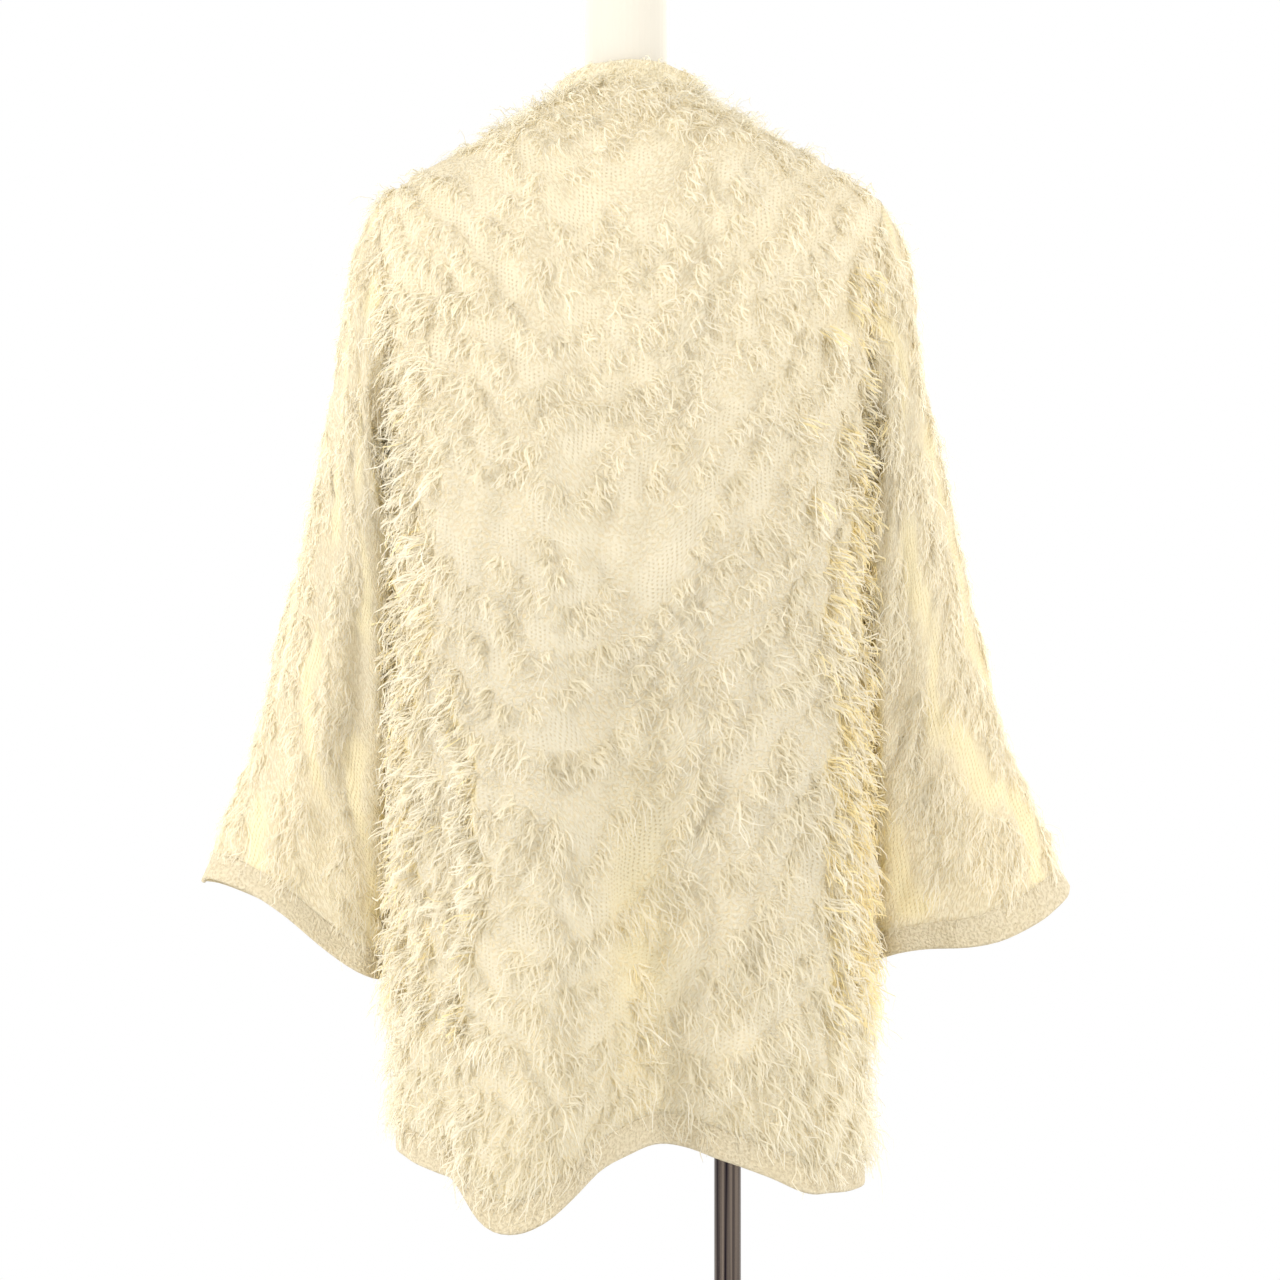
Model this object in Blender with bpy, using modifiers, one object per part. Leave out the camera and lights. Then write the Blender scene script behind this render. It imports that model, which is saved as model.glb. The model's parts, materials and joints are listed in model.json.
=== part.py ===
"""Collarless knitted jacket, worn by a smooth limbless dress form on a pole and base plate.

Metres, +Z up. The back of the jacket faces -Y, its fronts face +Y, the wearer's right is +X.
Z = 0 is the underside of the base plate.

Each knitted panel is a thin wall lofted through sections: rows run down the cloth and columns
run across it. Panels that are sewn together share the points of their seam, and their edges
are mitred along that seam with a small gap.
"""
import math
from collections import namedtuple

import bmesh
import bpy
import numpy as np

# ---------------------------------------------------------------- cloth sizes
WALL = 0.0030            # thickness of the knitted panels
BAND_WALL = 0.0034       # thickness of the plain bands
SEAM = 0.0003            # gap between two pieces at a seam
HEM_BAND = 0.022         # height of the hem bands
NECK_BAND = 0.020        # height of the neck band
CUFF_BAND = 0.020        # height of the cuff bands
FRONT_GAP = 0.012        # the fronts stand open edge to edge by this much
FRONT_BAND = 0.022       # width of the front bands

NECK_X = 0.062           # half width of the neckline
NECK_Z = 1.364           # height of the neckline at its sides
NECK_BACK_Y = 0.050      # depth of the neckline behind the neck
NECK_BACK_RISE = 0.011   # the neckline rises this much behind the neck
NECK_FRONT_Y = 0.084     # depth of the neckline in front of the neck
NECK_FRONT_DROP = 0.080  # and falls this much there
NECK_FRONT_EASE = 1.6    # leaving the neck points level first
NECK_FRONT_POINT = 0.80  # 0.5 is a round neckline, 1 a pointed one
NECK_BACK_POINT = 0.55

UNDERARM_Z = 1.060       # bottom of the armhole
ARMHOLE_DEPTH = 0.050    # half depth of the armhole, front to back
SHOULDER_ROUND = 0.100   # height over which the cloth rounds from the shoulder seam
NECK_ROUND = 0.130       # the same below the neckline
FOLD_START_Z = 1.000     # the hanging folds begin here and deepen towards the hem
FOLD_POWER = 1.5
SECTION_POWER = 2.6      # how square the body's sections are (2 is an ellipse)

# The shoulder seam, from neck to sleeve.
Shoulder = namedtuple("Shoulder", "x z")
SHOULDER = [
    Shoulder(0.062, 1.364),
    Shoulder(0.105, 1.341),
    Shoulder(0.167, 1.308),
    Shoulder(0.204, 1.284),
]

# Level sections through the body of the jacket.
Section = namedtuple("Section", "z half_width back_depth front_depth")
BODY = [
    Section(1.400, 0.2215, 0.088, 0.086),
    Section(1.284, 0.2165, 0.100, 0.103),
    Section(1.170, 0.2020, 0.113, 0.119),
    Section(1.060, 0.1930, 0.118, 0.125),
    Section(0.850, 0.1900, 0.124, 0.127),
    Section(0.650, 0.1890, 0.134, 0.130),
    Section(0.460, 0.1890, 0.143, 0.134),
]

# The hem: x of the fold at the hem, height of the edge, and how far the fold stands out there.
Fold = namedtuple("Fold", "x hem_z out")
BACK_FOLDS = [
    Fold(-0.189, 0.512, 0.000),
    Fold(-0.141, 0.504, 0.010),
    Fold(-0.106, 0.464, 0.050),
    Fold(-0.066, 0.466, 0.056),
    Fold(-0.024, 0.518, 0.020),
    Fold(0.028, 0.532, -0.030),
    Fold(0.085, 0.512, -0.006),
    Fold(0.150, 0.490, 0.016),
    Fold(0.189, 0.484, 0.000),
]
FRONT_FOLDS = [
    Fold(-0.189, 0.512, 0.000),
    Fold(-0.130, 0.505, 0.016),
    Fold(-0.080, 0.508, -0.012),
    Fold(0.000, 0.512, 0.004),
    Fold(0.065, 0.508, -0.010),
    Fold(0.125, 0.496, 0.014),
    Fold(0.189, 0.484, 0.000),
]

# Rings of a sleeve, from just below the armhole to the edge of its cuff: the outer and the
# inner end of the ring, its half depth front to back, the shift of its middle to the front,
# and how far the ring waves up and down out of its plane.
Ring = namedtuple("Ring", "outer_x outer_z inner_x inner_z half_depth shift_y wave")
SLEEVE_RIGHT = [
    Ring(0.2210, 1.246, 0.2015, 1.043, 0.0560, 0.002, 0.000),
    Ring(0.2315, 1.190, 0.1995, 1.000, 0.0570, 0.005, 0.000),
    Ring(0.2435, 1.120, 0.1985, 0.950, 0.0575, 0.009, 0.000),
    Ring(0.2570, 1.050, 0.1980, 0.900, 0.0575, 0.013, 0.000),
    Ring(0.2725, 0.980, 0.1975, 0.850, 0.0575, 0.017, 0.000),
    Ring(0.2890, 0.912, 0.1975, 0.800, 0.0575, 0.020, -0.001),
    Ring(0.3080, 0.845, 0.1985, 0.752, 0.0570, 0.022, -0.002),
    Ring(0.3330, 0.784, 0.2000, 0.709, 0.0560, 0.024, -0.004),
    Ring(0.3515, 0.739, 0.2010, 0.675, 0.0550, 0.025, -0.006),
    Ring(0.3570, 0.729, 0.2015, 0.665, 0.0550, 0.025, -0.007),
    Ring(0.3625, 0.719, 0.2020, 0.655, 0.0550, 0.025, -0.008),
]
SLEEVE_LEFT = [
    Ring(0.2210, 1.246, 0.2015, 1.043, 0.0560, 0.002, 0.000),
    Ring(0.2320, 1.190, 0.1995, 1.000, 0.0570, 0.005, 0.000),
    Ring(0.2440, 1.120, 0.1985, 0.950, 0.0575, 0.009, 0.000),
    Ring(0.2575, 1.050, 0.1980, 0.900, 0.0575, 0.013, 0.000),
    Ring(0.2725, 0.980, 0.1975, 0.850, 0.0575, 0.017, 0.000),
    Ring(0.2885, 0.912, 0.1975, 0.800, 0.0575, 0.020, 0.001),
    Ring(0.3065, 0.845, 0.1985, 0.752, 0.0570, 0.022, 0.003),
    Ring(0.3290, 0.788, 0.2000, 0.708, 0.0560, 0.024, 0.006),
    Ring(0.3440, 0.744, 0.2010, 0.672, 0.0550, 0.025, 0.009),
    Ring(0.3485, 0.734, 0.2015, 0.662, 0.0550, 0.025, 0.010),
    Ring(0.3530, 0.724, 0.2020, 0.652, 0.0550, 0.025, 0.010),
]
CUFF_ROWS = 2            # the last rows of a sleeve's rings are its cuff band

# ---------------------------------------------------------------- how finely the cloth is cut
ARM_ROWS = 10            # rows from the shoulder to the underarm
SIDE_ROWS = 10           # rows from the underarm to the hem band
HEM_ROWS = 2             # rows down a hem band
NECK_COLS = 8            # columns across the back neckline
SHOULDER_COLS = 12       # columns along one shoulder
FRONT_NECK_COLS = 3      # columns along one front neckline
BAND_COLS = 2            # columns across a front or neck band

# ---------------------------------------------------------------- dress form, pole and base
Torso = namedtuple("Torso", "z half_x back_y front_y")
FORM = [
    Torso(0.7000, 0.1360, 0.0860, 0.0840),
    Torso(0.7040, 0.1440, 0.0940, 0.0920),
    Torso(0.7150, 0.1490, 0.0985, 0.0965),
    Torso(0.7800, 0.1550, 0.1050, 0.1010),
    Torso(0.8800, 0.1350, 0.0920, 0.0920),
    Torso(0.9700, 0.1130, 0.0810, 0.0860),
    Torso(1.0600, 0.1220, 0.0880, 0.1000),
    Torso(1.1500, 0.1390, 0.0950, 0.1060),
    Torso(1.2200, 0.1560, 0.0900, 0.0880),
    Torso(1.2600, 0.1700, 0.0780, 0.0730),
    Torso(1.2800, 0.1745, 0.0690, 0.0650),
    Torso(1.2950, 0.1680, 0.0610, 0.0570),
    Torso(1.3120, 0.1420, 0.0550, 0.0490),
    Torso(1.3280, 0.1010, 0.0490, 0.0420),
    Torso(1.3420, 0.0640, 0.0440, 0.0380),
    Torso(1.3560, 0.0440, 0.0390, 0.0365),
    Torso(1.3720, 0.0360, 0.0355, 0.0350),
    Torso(1.3900, 0.0338, 0.0338, 0.0338),
    Torso(1.4700, 0.0336, 0.0336, 0.0336),
    Torso(1.4735, 0.0326, 0.0326, 0.0326),
    Torso(1.4750, 0.0300, 0.0300, 0.0300),
]
FORM_POWER = 2.25        # how square the form's sections are
FORM_SIDES = 40
NECK_SHIFT_X = -0.003    # the neck stands a little to the left

POLE_X = 0.080           # the pole stands to one side
POLE_R = 0.0110
SOCKET_R = 0.0210
SOCKET_H = 0.030
BASE_R = 0.170
BASE_X = 0.030
BASE_H = 0.010
BASE_BEVEL = 0.003
FORM_BOTTOM = FORM[0].z


# ---------------------------------------------------------------- reading the tables
def along(table, key, value, name):
    """Value of one column of a table, straight between its rows."""
    rows = sorted(table, key=lambda row: getattr(row, key))
    return float(np.interp(value, [getattr(r, key) for r in rows], [getattr(r, name) for r in rows]))


def eased(table, key, value, name):
    """The same, easing in and out of each row, so that rows are crests and troughs."""
    rows = sorted(table, key=lambda row: getattr(row, key))
    keys = [getattr(r, key) for r in rows]
    vals = [getattr(r, name) for r in rows]
    if value <= keys[0]:
        return vals[0]
    for k0, k1, v0, v1 in zip(keys, keys[1:], vals, vals[1:]):
        if value <= k1:
            t = (value - k0) / (k1 - k0)
            return v0 + (v1 - v0) * (0.5 - 0.5 * math.cos(math.pi * t))
    return vals[-1]


# ---------------------------------------------------------------- the shape of the body
SHOULDER_X, SHOULDER_Z = SHOULDER[-1]
ARM_MID_Z = 0.5 * (SHOULDER_Z + UNDERARM_Z)
ARM_HALF = 0.5 * (SHOULDER_Z - UNDERARM_Z)


def top_edge(x, front):
    """Height and depth of a panel's top edge: shoulder seam, or neckline near the middle."""
    x = abs(x)
    if x >= NECK_X - 1e-9:
        return along(SHOULDER, "x", x, "z"), 0.0
    q = max(0.0, 1.0 - (x / NECK_X) ** 2)
    if front:
        q **= NECK_FRONT_POINT
        return NECK_Z - NECK_FRONT_DROP * q ** NECK_FRONT_EASE, NECK_FRONT_Y * q
    return NECK_Z + NECK_BACK_RISE * q, NECK_BACK_Y * q ** NECK_BACK_POINT


def top_angle(x, front):
    """Angle round the section at which the top edge has this x."""
    a = along(BODY, "z", top_edge(x, front)[0], "half_width")
    return math.asin(min(1.0, (abs(x) / a) ** (SECTION_POWER / 2)))


ANGLE_TOP = top_angle(SHOULDER_X, False)


def rounding(x_top, h):
    """Share of the section's depth reached at a height h below the top edge."""
    t = min(h / SHOULDER_ROUND, 1.0)
    over_shoulder = math.sqrt(max(0.0, 1.0 - (1.0 - t) ** 2))
    below_neck = 1.0 - (1.0 - min(h / NECK_ROUND, 1.0)) ** 1.6
    w = min(1.0, abs(x_top) / NECK_X) ** 2
    return w * over_shoulder + (1.0 - w) * below_neck


def side_angle(z, depth):
    """Angle of a panel's side edge: the armhole above the underarm, the side seam below it."""
    if z >= SHOULDER_Z - 1e-7:
        return ANGLE_TOP
    if z <= UNDERARM_Z + 1e-7:
        return math.pi / 2
    q = (z - ARM_MID_Z) / ARM_HALF
    y = ARMHOLE_DEPTH * math.sqrt(max(0.0, 1.0 - q * q))
    y /= rounding(SHOULDER_X, SHOULDER_Z - z) * depth
    return math.acos(min(1.0, y ** (SECTION_POWER / 2)))


def body_point(x_top, z, front):
    """Point of the body, on the column that starts at x_top on the top edge, at height z."""
    side = -1.0 if x_top < 0 else 1.0
    z_top, y_top = top_edge(x_top, front)
    share = top_angle(x_top, front) / ANGLE_TOP
    a = along(BODY, "z", z, "half_width")
    b = along(BODY, "z", z, "front_depth" if front else "back_depth")
    angle = share * ANGLE_TOP + (side_angle(z, b) - ANGLE_TOP) * share ** 3
    x = side * a * math.sin(angle) ** (2 / SECTION_POWER)
    y = b * max(0.0, math.cos(angle)) ** (2 / SECTION_POWER)
    y = y_top + (y - y_top) * rounding(x_top, z_top - z)
    folds = FRONT_FOLDS if front else BACK_FOLDS
    t = (FOLD_START_Z - z) / (FOLD_START_Z - hem_z(x_top, front))
    y += eased(folds, "x", hem_x(x_top, front), "out") * max(0.0, min(1.0, t)) ** FOLD_POWER
    return x, (y if front else -y), z


def hem_x(x_top, front):
    """x of a column at the hem."""
    side = -1.0 if x_top < 0 else 1.0
    share = top_angle(x_top, front) / ANGLE_TOP
    angle = share * ANGLE_TOP + (math.pi / 2 - ANGLE_TOP) * share ** 3
    return side * BODY[-1].half_width * math.sin(angle) ** (2 / SECTION_POWER)


def hem_z(x_top, front):
    return eased(FRONT_FOLDS if front else BACK_FOLDS, "x", hem_x(x_top, front), "hem_z")


def row_heights(x_top, front):
    """Heights of the rows down one column: to the underarm, to the hem band, to the hem."""
    z_top = top_edge(x_top, front)[0]
    z_band = hem_z(x_top, front) + HEM_BAND
    rows = [z_top + (UNDERARM_Z - z_top) * 0.5 * (1 - math.cos(math.pi * i / ARM_ROWS))
            for i in range(ARM_ROWS + 1)]
    rows += [UNDERARM_Z + (z_band - UNDERARM_Z) * i / SIDE_ROWS for i in range(1, SIDE_ROWS + 1)]
    rows += [z_band - HEM_BAND * i / HEM_ROWS for i in range(1, HEM_ROWS + 1)]
    return rows


def body_grid(columns, front):
    """Rows by columns of points, with the armhole's corner laid exactly on the shoulder point."""
    grid = np.array([[body_point(x, z, front) for z in row_heights(x, front)] for x in columns])
    grid = grid.transpose(1, 0, 2)
    for j, x in enumerate(columns):
        if abs(abs(x) - SHOULDER_X) < 1e-9:
            grid[0, j] = (x, 0.0, SHOULDER_Z)
    return grid


def shoulder_columns():
    """x of the columns along one shoulder, neck to sleeve, even in angle."""
    a0, a1 = top_angle(NECK_X, False), ANGLE_TOP
    xs = []
    for i in range(SHOULDER_COLS + 1):
        want, low, high = a0 + (a1 - a0) * i / SHOULDER_COLS, NECK_X, SHOULDER_X
        for _ in range(60):
            mid = 0.5 * (low + high)
            low, high = (mid, high) if top_angle(mid, False) < want else (low, mid)
        xs.append(0.5 * (low + high))
    xs[0], xs[-1] = NECK_X, SHOULDER_X
    return xs


def neck_columns(x0, x1, count):
    """x of columns along the neckline, even in angle round the neck."""
    a0, a1 = math.asin(x0 / NECK_X), math.asin(x1 / NECK_X)
    return [NECK_X * math.sin(a0 + (a1 - a0) * i / count) for i in range(count + 1)]


# ---------------------------------------------------------------- walls
def unit(v):
    return v / np.maximum(np.linalg.norm(v, axis=-1, keepdims=True), 1e-12)


def steps(grid, axis, closed=False):
    """Direction along one axis of a grid, central inside it and one-sided at its ends."""
    if closed:
        return np.roll(grid, -1, axis) - np.roll(grid, 1, axis)
    out = np.gradient(grid, axis=axis)
    return out


def outward(grid, flip, closed=False):
    n = unit(np.cross(steps(grid, 1, closed), steps(grid, 0)))
    return -n if flip else n


SPLIT = np.array((1.0, 0.37, 2.1))


def wall(name, points, normals, thickness, material, closed=False):
    """A closed wall of even thickness round a grid of mid-surface points."""
    rows, cols = points.shape[:2]
    bm = bmesh.new()
    skins = []
    for sign in (0.5, -0.5):
        p = points + normals * thickness * sign
        skins.append([[bm.verts.new(p[i, j]) for j in range(cols)] for i in range(rows)])
    out, inn = skins
    last = cols if closed else cols - 1
    for i in range(rows - 1):
        for j in range(last):
            k = (j + 1) % cols
            bm.faces.new((out[i][j], out[i][k], out[i + 1][k], out[i + 1][j]))
            bm.faces.new((inn[i][j], inn[i + 1][j], inn[i + 1][k], inn[i][k]))
    def edge(a, b):
        """One face of the wall's edge, split the same way on both sides of a seam."""
        if points[a] @ SPLIT > points[b] @ SPLIT:
            a, b = b, a
        oa, ob, ia, ib = out[a[0]][a[1]], out[b[0]][b[1]], inn[a[0]][a[1]], inn[b[0]][b[1]]
        bm.faces.new((oa, ia, ib))
        bm.faces.new((oa, ib, ob))

    for i in (0, rows - 1):
        for j in range(last):
            edge((i, j), (i, (j + 1) % cols))
    if not closed:
        for j in (0, cols - 1):
            for i in range(rows - 1):
                edge((i, j), (i + 1, j))
    bmesh.ops.recalc_face_normals(bm, faces=bm.faces)
    return finish(name, bm, material, 50)


def finish(name, bm, material, crease):
    mesh = bpy.data.meshes.new(name)
    bm.to_mesh(mesh)
    bm.free()
    for p in mesh.polygons:
        p.use_smooth = True
    mesh.set_sharp_from_angle(angle=math.radians(crease))
    ob = bpy.data.objects.new(name, mesh)
    mesh.materials.append(material)
    PARTS.objects.link(ob)
    return ob


def shift(points, index, direction):
    """Move one row or column of a grid half a seam gap along a direction."""
    points[index] = points[index] + unit(direction) * SEAM / 2


# ---------------------------------------------------------------- the scene
for ob in list(bpy.data.objects):
    bpy.data.objects.remove(ob, do_unlink=True)
PARTS = bpy.data.collections.new("collarless_jacket")
bpy.context.scene.collection.children.link(PARTS)


def material(name, colour, metallic, roughness):
    m = bpy.data.materials.new(name)
    m.use_nodes = True
    shader = m.node_tree.nodes["Principled BSDF"]
    shader.inputs["Base Color"].default_value = (*colour, 1.0)
    shader.inputs["Metallic"].default_value = metallic
    shader.inputs["Roughness"].default_value = roughness
    m.diffuse_color = (*colour, 1.0)
    return m


KNIT = material("fringed_knit", (0.88, 0.79, 0.56), 0.0, 0.9)
BAND = material("band_knit", (0.84, 0.75, 0.53), 0.0, 0.9)
COVER = material("form_cover", (0.92, 0.87, 0.76), 0.0, 0.6)
STEEL = material("pole_metal", (0.12, 0.10, 0.10), 1.0, 0.25)
PLATE = material("base_metal", (0.14, 0.12, 0.12), 1.0, 0.35)

# ---------------------------------------------------------------- grids of body and sleeves
shoulder = shoulder_columns()
back_neck = neck_columns(-NECK_X, NECK_X, NECK_COLS)
back_cols = [-x for x in reversed(shoulder)] + back_neck[1:-1] + shoulder
EDGE_X = FRONT_GAP / 2 + FRONT_BAND
band_x = neck_columns(FRONT_GAP / 2, EDGE_X, BAND_COLS)
front_neck = neck_columns(EDGE_X, NECK_X, FRONT_NECK_COLS)
front_cols = band_x[:-1] + front_neck[:-1] + shoulder

back = body_grid(back_cols, False)
front = {+1: body_grid(front_cols, True), -1: body_grid([-x for x in front_cols], True)}
back_n = outward(back, True)
front_n = {s: outward(front[s], s < 0) for s in front}
S0 = len(band_x) - 1 + len(front_neck) - 1      # column of a front at the neck point
ROW_ARM, ROW_BAND = ARM_ROWS, ARM_ROWS + SIDE_ROWS


def back_col(side, k):
    """Column of the back that is sewn to column k of the front on that side."""
    n = len(back_cols) - 1
    return n - (len(front_cols) - 1 - k) if side > 0 else len(front_cols) - 1 - k


# shoulder and side seams share one normal across the seam
for side in (1, -1):
    f, fn = front[side], front_n[side]
    for k in range(S0, len(front_cols)):
        j = back_col(side, k)
        run = back[0, min(j + 1, len(back_cols) - 1)] - back[0, max(j - 1, 0)]
        n = unit(np.cross(run, f[1, k] - back[1, j]))
        fn[0, k] = back_n[0, j] = n
    j, k = back_col(side, len(front_cols) - 1), len(front_cols) - 1
    inner = j - side
    for i in range(ROW_ARM, back.shape[0]):
        down = back[min(i + 1, back.shape[0] - 1), j] - back[max(i - 1, 0), j]
        n = unit(np.cross(down, f[i, k - 1] - back[i, inner])) * side
        fn[i, k] = back_n[i, j] = -n if n[0] * side < 0 else n


def sleeve_rings(side, table):
    """Rings of one sleeve. The first is the armhole: the side edges of back and front."""
    j, k = back_col(side, len(front_cols) - 1), len(front_cols) - 1
    hole = [back[i, j] for i in range(ARM_ROWS + 1)]
    hole += [front[side][i, k] for i in range(ARM_ROWS - 1, 0, -1)]
    rings = [hole]
    for r in table:
        outer = np.array((side * r.outer_x, r.shift_y, r.outer_z))
        inner = np.array((side * r.inner_x, r.shift_y, r.inner_z))
        mid, arm = 0.5 * (outer + inner), 0.5 * (outer - inner)
        ring = []
        for i in range(2 * ARM_ROWS):
            t = math.pi * i / ARM_ROWS
            ring.append(mid + arm * math.cos(t)
                        - np.array((0, r.half_depth * math.sin(t), -r.wave * math.sin(2 * t))))
        rings.append(ring)
    return np.array(rings)


sleeves, sleeves_n, arm_out = {}, {}, {}         # arm_out: across the armhole seam, to the sleeve
for side, table in ((1, SLEEVE_RIGHT), (-1, SLEEVE_LEFT)):
    g = sleeve_rings(side, table)
    n = outward(g, side < 0, closed=True)
    if np.dot(n[3, 0], (side, 0, 0)) < 0:
        n = -n
    # the armhole seam is mitred between the panels and the sleeve
    j, k = back_col(side, len(front_cols) - 1), len(front_cols) - 1
    for i in range(ARM_ROWS + 1):
        both = unit(n[0, i] + back_n[i, j])
        n[0, i] = back_n[i, j] = both
        if i in (0, ARM_ROWS):
            front_n[side][i, k] = both
        else:
            m = 2 * ARM_ROWS - i
            both = unit(n[0, m] + front_n[side][i, k])
            n[0, m] = front_n[side][i, k] = both
    across = unit(np.cross(steps(g[:1], 1, True)[0], n[0]))
    across = np.where((across * (g[1] - g[0])).sum(axis=1, keepdims=True) < 0, -across, across)
    sleeves[side], sleeves_n[side], arm_out[side] = g, n, across

# ---------------------------------------------------------------- neck band
line = [front[1][0, k] for k in range(S0)]
line += [back[0, j] for j in range(back_col(1, S0), back_col(-1, S0) - 1, -1)]
line += [front[-1][0, k] for k in range(S0 - 1, -1, -1)]
line = np.array(line)
lean = -0.35 * unit(line * (1, 1, 0)) + np.array((0, 0, 1.0))
lean = unit(lean)
neck = np.array([line + lean * NECK_BAND * t / BAND_COLS for t in range(BAND_COLS + 1)])
neck_n = outward(neck, False)
if np.dot(neck_n[1, len(line) // 2], (0, -1, 0)) < 0:
    neck_n = -neck_n

# the neckline seam is mitred between the panels and the band
for m in range(len(line)):
    if m < S0:
        owners = [(front_n[1], m)]
    elif m > len(line) - 1 - S0:
        owners = [(front_n[-1], len(line) - 1 - m)]
    else:
        j = back_col(1, S0) - (m - S0)
        owners = [(back_n, j)]
        if m == S0:
            owners.append((front_n[1], S0))
        if m == len(line) - 1 - S0:
            owners.append((front_n[-1], S0))
    both = unit(neck_n[0, m] + sum(n[0, c] for n, c in owners) / len(owners))
    neck_n[0, m] = both
    for n, c in owners:
        n[0, c] = both
neck_run = np.gradient(line, axis=0)
neck_up = unit(np.cross(neck_run, neck_n[0]))    # across the seam, from the panels to the band
neck_up = np.where((neck_up * lean).sum(axis=1, keepdims=True) < 0, -neck_up, neck_up)
neck_p = neck.copy()
shift(neck_p, 0, neck_up)
wall("neck_band", neck_p, neck_n, BAND_WALL, BAND)

# ---------------------------------------------------------------- seam gaps, then the panels
back_p = back.copy()
front_p = {s: front[s].copy() for s in front}
# shoulder seams
for side in (1, -1):
    for k in range(S0, len(front_cols)):
        shift(front_p[side], (0, k), np.array((0.0, 1.0, 0.0)))
        shift(back_p, (0, back_col(side, k)), np.array((0.0, -1.0, 0.0)))
# neckline
for m in range(len(line)):
    if m <= S0:
        shift(front_p[1], (0, m), -neck_up[m])
    if m >= len(line) - 1 - S0:
        shift(front_p[-1], (0, len(line) - 1 - m), -neck_up[m])
    if S0 <= m <= len(line) - 1 - S0:
        shift(back_p, (0, back_col(1, S0) - (m - S0)), -neck_up[m])
# armhole and side seams
for side in (1, -1):
    j, k = back_col(side, len(front_cols) - 1), len(front_cols) - 1
    for i in range(ARM_ROWS + 1):
        shift(back_p, (i, j), -arm_out[side][i])
        shift(front_p[side], (i, k), -arm_out[side][-i])
    below = slice(ARM_ROWS, None)
    shift(back_p, (below, j), np.array((0.0, -1.0, 0.0)))
    shift(front_p[side], (below, k), np.array((0.0, 1.0, 0.0)))

DOWN = np.array((0.0, 0.0, -1.0))


def cut_hem(p):
    """Split a panel's rows into the panel and its hem band, with a seam gap between them."""
    panel, band = p[:ROW_BAND + 1].copy(), p[ROW_BAND:].copy()
    shift(panel, (-1,), np.broadcast_to(-DOWN, panel[-1].shape))
    shift(band, (0,), np.broadcast_to(DOWN, band[0].shape))
    return panel, band


panel, band = cut_hem(back_p)
wall("back", panel, back_n[:ROW_BAND + 1], WALL, KNIT)
wall("hem_band_back", band, back_n[ROW_BAND:], BAND_WALL, BAND)

B = len(band_x) - 1                              # column of a front at its band's seam
for side, word in ((1, "right"), (-1, "left")):
    p, n = front_p[side], front_n[side]
    strip, rest = p[:, :B + 1].copy(), p[:, B:].copy()
    across = rest[:, 1] - rest[:, 0]
    shift(strip, (slice(None), B), -across)
    shift(rest, (slice(None), 0), across)
    wall("front_band_" + word, strip, n[:, :B + 1], BAND_WALL, BAND)
    panel, band = cut_hem(rest)
    wall("front_" + word, panel, n[:ROW_BAND + 1, B:], WALL, KNIT)
    wall("hem_band_front_" + word, band, n[ROW_BAND:, B:], BAND_WALL, BAND)

    g, n = sleeves[side].copy(), sleeves_n[side]
    shift(g, (0,), arm_out[side])
    cut = g.shape[0] - 1 - CUFF_ROWS
    tube, cuff = g[:cut + 1].copy(), g[cut:].copy()
    run = g[cut + 1] - g[cut]
    shift(tube, (-1,), -run)
    shift(cuff, (0,), run)
    wall("sleeve_" + word, tube, n[:cut + 1], WALL, KNIT, closed=True)
    wall("cuff_band_" + word, cuff, n[cut:], BAND_WALL, BAND, closed=True)


# ---------------------------------------------------------------- dress form
def torso():
    """Smooth limbless torso with a neck, lofted through its sections and closed flat."""
    bm = bmesh.new()
    rings = []
    for row in FORM:
        ring = []
        lift = min(1.0, max(0.0, (row.z - 1.30) / 0.07))
        for i in range(FORM_SIDES):
            t = 2 * math.pi * i / FORM_SIDES
            c, s = math.cos(t), math.sin(t)
            power = 2 / FORM_POWER if row.z < 1.35 else 1.0
            x = row.half_x * math.copysign(abs(c) ** power, c)
            y = (row.front_y if s > 0 else row.back_y) * math.copysign(abs(s) ** power, s)
            ring.append(bm.verts.new((x + NECK_SHIFT_X * lift, y, row.z)))
        rings.append(ring)
    for low, high in zip(rings, rings[1:]):
        for i in range(FORM_SIDES):
            k = (i + 1) % FORM_SIDES
            bm.faces.new((low[i], low[k], high[k], high[i]))
    bm.faces.new(list(reversed(rings[0])))
    bm.faces.new(rings[-1])
    bmesh.ops.recalc_face_normals(bm, faces=bm.faces)
    return finish("form_torso", bm, COVER, 60)


torso()


def turned(name, radius, low, high, x, mat, bevel, sides):
    """A round piece standing on its axis, its rims rounded."""
    bpy.ops.mesh.primitive_cylinder_add(vertices=sides, radius=radius, depth=high - low,
                                        location=(x, 0.0, 0.5 * (low + high)))
    ob = bpy.context.object
    ob.name = ob.data.name = name
    for c in list(ob.users_collection):
        c.objects.unlink(ob)
    PARTS.objects.link(ob)
    ob.data.materials.append(mat)
    for p in ob.data.polygons:
        p.use_smooth = True
    ob.data.set_sharp_from_angle(angle=math.radians(40))
    mod = ob.modifiers.new("rim", "BEVEL")
    mod.width = bevel
    mod.segments = 2
    mod.limit_method = "ANGLE"
    mod.angle_limit = math.radians(60)
    return ob


turned("pole_socket", SOCKET_R, FORM_BOTTOM - SEAM - SOCKET_H, FORM_BOTTOM - SEAM, POLE_X, STEEL, 0.002, 32)
turned("pole", POLE_R, BASE_H + SEAM, FORM_BOTTOM - 2 * SEAM - SOCKET_H, POLE_X, STEEL, 0.0005, 32)
turned("base_plate", BASE_R, 0.0, BASE_H, BASE_X, PLATE, BASE_BEVEL, 64)
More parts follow.
